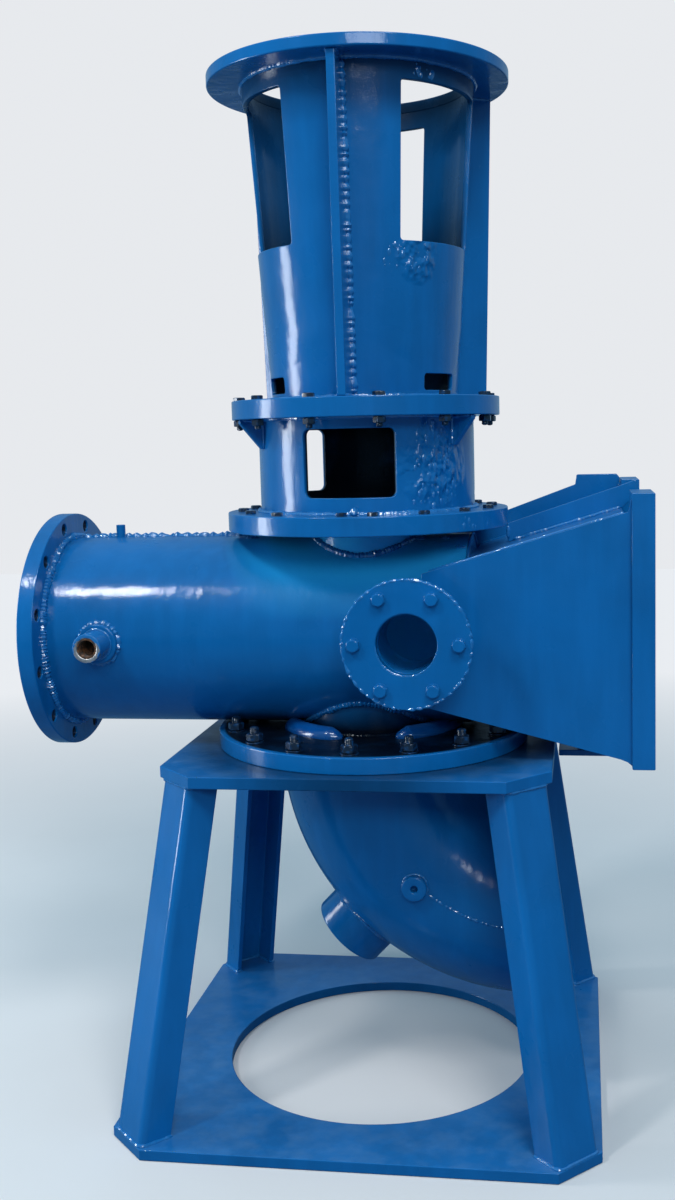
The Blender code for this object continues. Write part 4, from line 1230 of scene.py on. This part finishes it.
def build_bracket():
    """Two side plates, the sloped plates between them, the middle rib, two feet and a bar, welds."""
    gap_r = NOZZLE_R + LIFT              # the front plate clears the nozzle by an arc
    last = math.acos((BRACKET_X - EYE_X) / gap_r)
    arc = [(EYE_X + gap_r * math.cos(a), EYE_Z + gap_r * math.sin(a)) for a in np.linspace(last, -last, 19)]
    front = [(x, low_edge(x)) for x in (BRACKET_X, 0.462)]
    front += [(0.474, 0.646), (0.481, 0.640), (FRONT_X, 0.635), (FRONT_X, 1.099), (FRONT_X - 0.004, 1.099)]
    front += [(x, top_edge(x)) for x in (0.476, BRACKET_X)] + arc
    back = [(x, low_edge(x)) for x in (BRACKET_X, 0.275)]
    back += [(0.385, 0.6145), (0.388, 0.595), (0.466, 0.595), (BACK_X, 0.602), (BACK_X, 1.124),
             (0.466, 1.131), (0.388, 1.131), (0.385, 1.1115), (BRACKET_X, 1.016)]

    def sloped(edge, x1, low, high):
        """Plate between the side plates, along a sloped edge."""
        ends = (CASING_END, x1)
        return [(x, edge(x) + low) for x in ends] + [(x, edge(x) + high) for x in ends[::-1]]

    rib_x = PED_FLANGE_R
    rib = [(x, top_edge(x) - LEDGE) for x in (rib_x, BACK_X)]
    rib += [(RIB_X, 1.098), (RIB_X, 1.126), (0.464, 1.1144), (rib_x, 1.049)]
    inside = (-PIPE_R, PIPE_R)
    sheared, sharp, bar = (PLATE_EDGE, PLATE_CORNER), (0.0006, 0.001), (0.0010, 0.002)

    def block(x0, x1, z0, z1):
        """Rectangle as an outline."""
        return [(x0, z0), (x1, z0), (x1, z1), (x0, z1)]

    for name, outline, thickness, rounding in (
            ("front_plate", front, (-SIDE_Y - SHEET, -SIDE_Y), sharp),
            ("back_plate", back, (SIDE_Y, SIDE_Y + SHEET), sheared),
            ("top_plate", sloped(top_edge, BACK_X, -LEDGE - SHEET, -LEDGE), inside, sheared),
            ("bottom_plate", sloped(low_edge, 0.4615, LEDGE, LEDGE + SHEET), inside, sheared),
            ("middle_rib", rib, (-SHEET / 2, SHEET / 2), sheared),
            ("front_foot", block(FRONT_X - 0.003, FRONT_X + 0.0361, 0.635, 1.1105), (-0.2001, -0.0585), bar),
            ("back_foot", block(BACK_X + 0.0003, BACK_X + 0.0333, 0.609, 1.124), (0.0585, 0.200), bar),
            ("lower_bar", block(0.350, BACK_X, 0.583, 0.5947), (0.100, 0.200), bar)):
        skin("bracket_" + name, [upright(outline, *thickness, *rounding)], STAND_PAINT)

    def along_top(x0, x1, y, drop, width):
        """Straight bead along the sloped upper edge, or a little below it."""
        return seam((x0, y, top_edge(x0) - drop), (x1, y, top_edge(x1) - drop), width)

    beads = [along_top(BRACKET_X + 0.01, 0.47, -SIDE_Y, 0.0, 0.006)]
    for s in (-1, 1):
        beads.append(along_top(rib_x + 0.01, 0.468, s * 0.007, 0.0, 0.007))
        beads.append(along_top(CASING_END, 0.47, s * (SIDE_Y - 0.002), LEDGE, 0.007))
        foot = (rib_x + LIFT, s * 0.006, top_edge(rib_x) + 0.004)
        beads.append(seam(foot, (rib_x + LIFT, s * 0.006, 1.045), 0.008))
    end_arc = circle(PIPE_R - LIFT, PUMP + [CASING_END, 0, 0], "x", 120, 20, 140)
    beads.append(bead(end_arc, 0.006, False))
    beads.append(seam((BACK_X, SIDE_Y - LIFT, 0.62), (BACK_X, SIDE_Y - LIFT, 1.115), 0.007))
    piece("bracket_welds", beads, weld_blue, "stand_paint")


def paint_drops(angles, heights, size, radius_at):
    """Drops of thick paint on an upright round wall.

    Each is an oval whose lift falls from the middle to its rim with the square of the distance."""
    s = np.array([1.05, 0.95, 0.75, 0.45, 0.12])[None, :, None]
    t = full_turn(10)[None, None]
    size = size[:, None, None]
    hang = np.where(np.sin(t) < 0, 1.5, 0.9)
    z = heights[:, None, None] + size * 1.5 * s * np.sin(t) * hang
    r = radius_at(z) + 0.42 * size * (1 - s ** 2) - 0.0002
    grid = polar(r, np.radians(angles)[:, None, None] + size * s * np.cos(t) / r, z) + AXIS
    return [(g, False, True, True) for g in grid]


def scatter(count, angle, z, smallest, largest):
    """Random spots in a patch of wall: angles, heights and drop sizes, small ones being the most common."""
    size = smallest + (largest - smallest) * rng.uniform(0, 1, count) ** 2.5
    return rng.uniform(*angle, count), rng.uniform(*z, count), size


def build_drops():
    """Drops on the pedestal, in two patches on the stool, and on the rim of the cover."""
    def on_stool(z):
        """Radius of the stool's wall: a straight blend over its height."""
        return STOOL_R[0] + (STOOL_R[1] - STOOL_R[0]) * (z - STOOL_Z[0]) / (STOOL_Z[1] - STOOL_Z[0])

    made = []
    for patch, radius_at in (((80, (-57, -28), (1.088, 1.243), 0.0012, 0.0048), lambda z: PED_R),
                             ((26, (-70, -42), (1.500, 1.540), 0.0010, 0.0040), on_stool),
                             ((16, (-55, -40), (1.815, 1.835), 0.0012, 0.0045), on_stool),
                             ((12, (-42, -26), (1.054, 1.074), 0.0012, 0.0036), lambda z: PED_FLANGE_R)):
        made += paint_drops(*scatter(*patch), radius_at)
    piece("paint_drops", made, weld_blue, "stool_paint")


for build in (build_stand, build_suction, build_casing, build_pedestal, build_stool, build_bracket,
              build_drops):
    build()


# Studio
FRONT_TONE = (0.09, 0.22, 0.33, 1.0)
BACK_TONE = (0.18, 0.30, 0.42, 1.0)
TOP_TONE = (0.26, 0.47, 0.64, 1.0)
COOL = (0.88, 0.95, 1.0)
FLOOR_HALF = 9.0
FLOOR_Z = -0.0005


def link_at(name, data, right, up, back, place):
    """Lamp or camera at a place, its own axes along right, up and back."""
    obj = bpy.data.objects.new(name, data)
    bpy.context.scene.collection.objects.link(obj)
    rows = [[right[k], up[k], back[k], place[k]] for k in range(3)]
    obj.matrix_world = Matrix(rows + [[0, 0, 0, 1]])
    return obj


def window_light(name, place, target, size, power):
    """Rectangular lamp that faces its target."""
    data = bpy.data.lights.new(name, 'AREA')
    data.shape = 'RECTANGLE'
    data.size, data.size_y = size
    data.energy = power
    data.color = COOL
    back = unit(np.array(place) - np.array(target))
    right = unit(np.cross([0, 0, 1.0], back))
    link_at(name, data, right, np.cross(back, right), back, place)


def room_light():
    """Soft room: cool and dim in front of the pump, paler behind it, brighter overhead.

    Blends over the y and z parts of the direction; the camera itself sees the even tone of the backdrop."""
    world = bpy.data.worlds.new("soft_room")
    bpy.context.scene.world = world
    world.use_nodes = True
    g = Graph(world.node_tree)
    way = g.add("ShaderNodeTexCoord").outputs["Generated"]
    parts = g.add("ShaderNodeSeparateXYZ", {"Vector": way}).outputs
    tone = FRONT_TONE
    for part, low, high, further in (("Y", 0.20, 0.95, BACK_TONE), ("Z", 0.30, 0.85, TOP_TONE)):
        tone = g.blend(g.span(parts[part], low, high, interpolation_type='SMOOTHSTEP'), tone, further)
    seen = g.add("ShaderNodeLightPath").outputs["Is Camera Ray"]
    g.feed(g.tree.nodes["Background"].inputs["Color"], g.blend(seen, tone, BACKDROP))


def build_studio():
    """Pale floor, soft room and four windows of light."""
    floor = bpy.data.objects.new("floor", bpy.data.meshes.new("floor"))
    corners = [(sx * FLOOR_HALF, sy * FLOOR_HALF, FLOOR_Z) for sx, sy in ((-1, -1), (1, -1), (1, 1), (-1, 1))]
    floor.data.from_pydata(corners, [], [(0, 1, 2, 3)])
    floor.data.materials.append(floor_paint("pale_floor"))
    bpy.context.scene.collection.objects.link(floor)
    room_light()
    window_light("upper_left_window", (-1.86, -2.38, 3.97), (-0.40, -0.13, 0.97), (0.42, 0.6), 42)
    window_light("left_window", (-3.2, -0.55, 1.12), (0.05, 0.0, 1.10), (0.7, 1.9), 50)
    window_light("front_window", (1.45, -5.0, 3.3), (0.0, 0.0, 1.0), (2.3, 1.2), 66)
    window_light("high_fill", (1.3, -2.6, 5.0), (0.0, 0.0, 0.9), (1.6, 1.2), 88)
    bpy.context.scene.view_settings.view_transform = 'Standard'


def build_camera():
    """Camera fitted to the photograph by its right, up and ahead directions and its place."""
    data = bpy.data.cameras.new("photo_camera")
    data.sensor_fit = 'HORIZONTAL'
    data.sensor_width = 36.0
    data.lens = 68.650
    data.shift_x = -0.09828
    data.shift_y = -0.02752
    right = (0.99029989, 0.13711502, -0.02248564)
    up = (0.00660677, 0.11517926, 0.99332275)
    ahead = np.array([-0.13878935, 0.98383597, -0.11315612])
    place = (0.44644, -2.40025, 1.21646)
    bpy.context.scene.camera = link_at("photo_camera", data, right, up, -ahead, place)


build_studio()
build_camera()
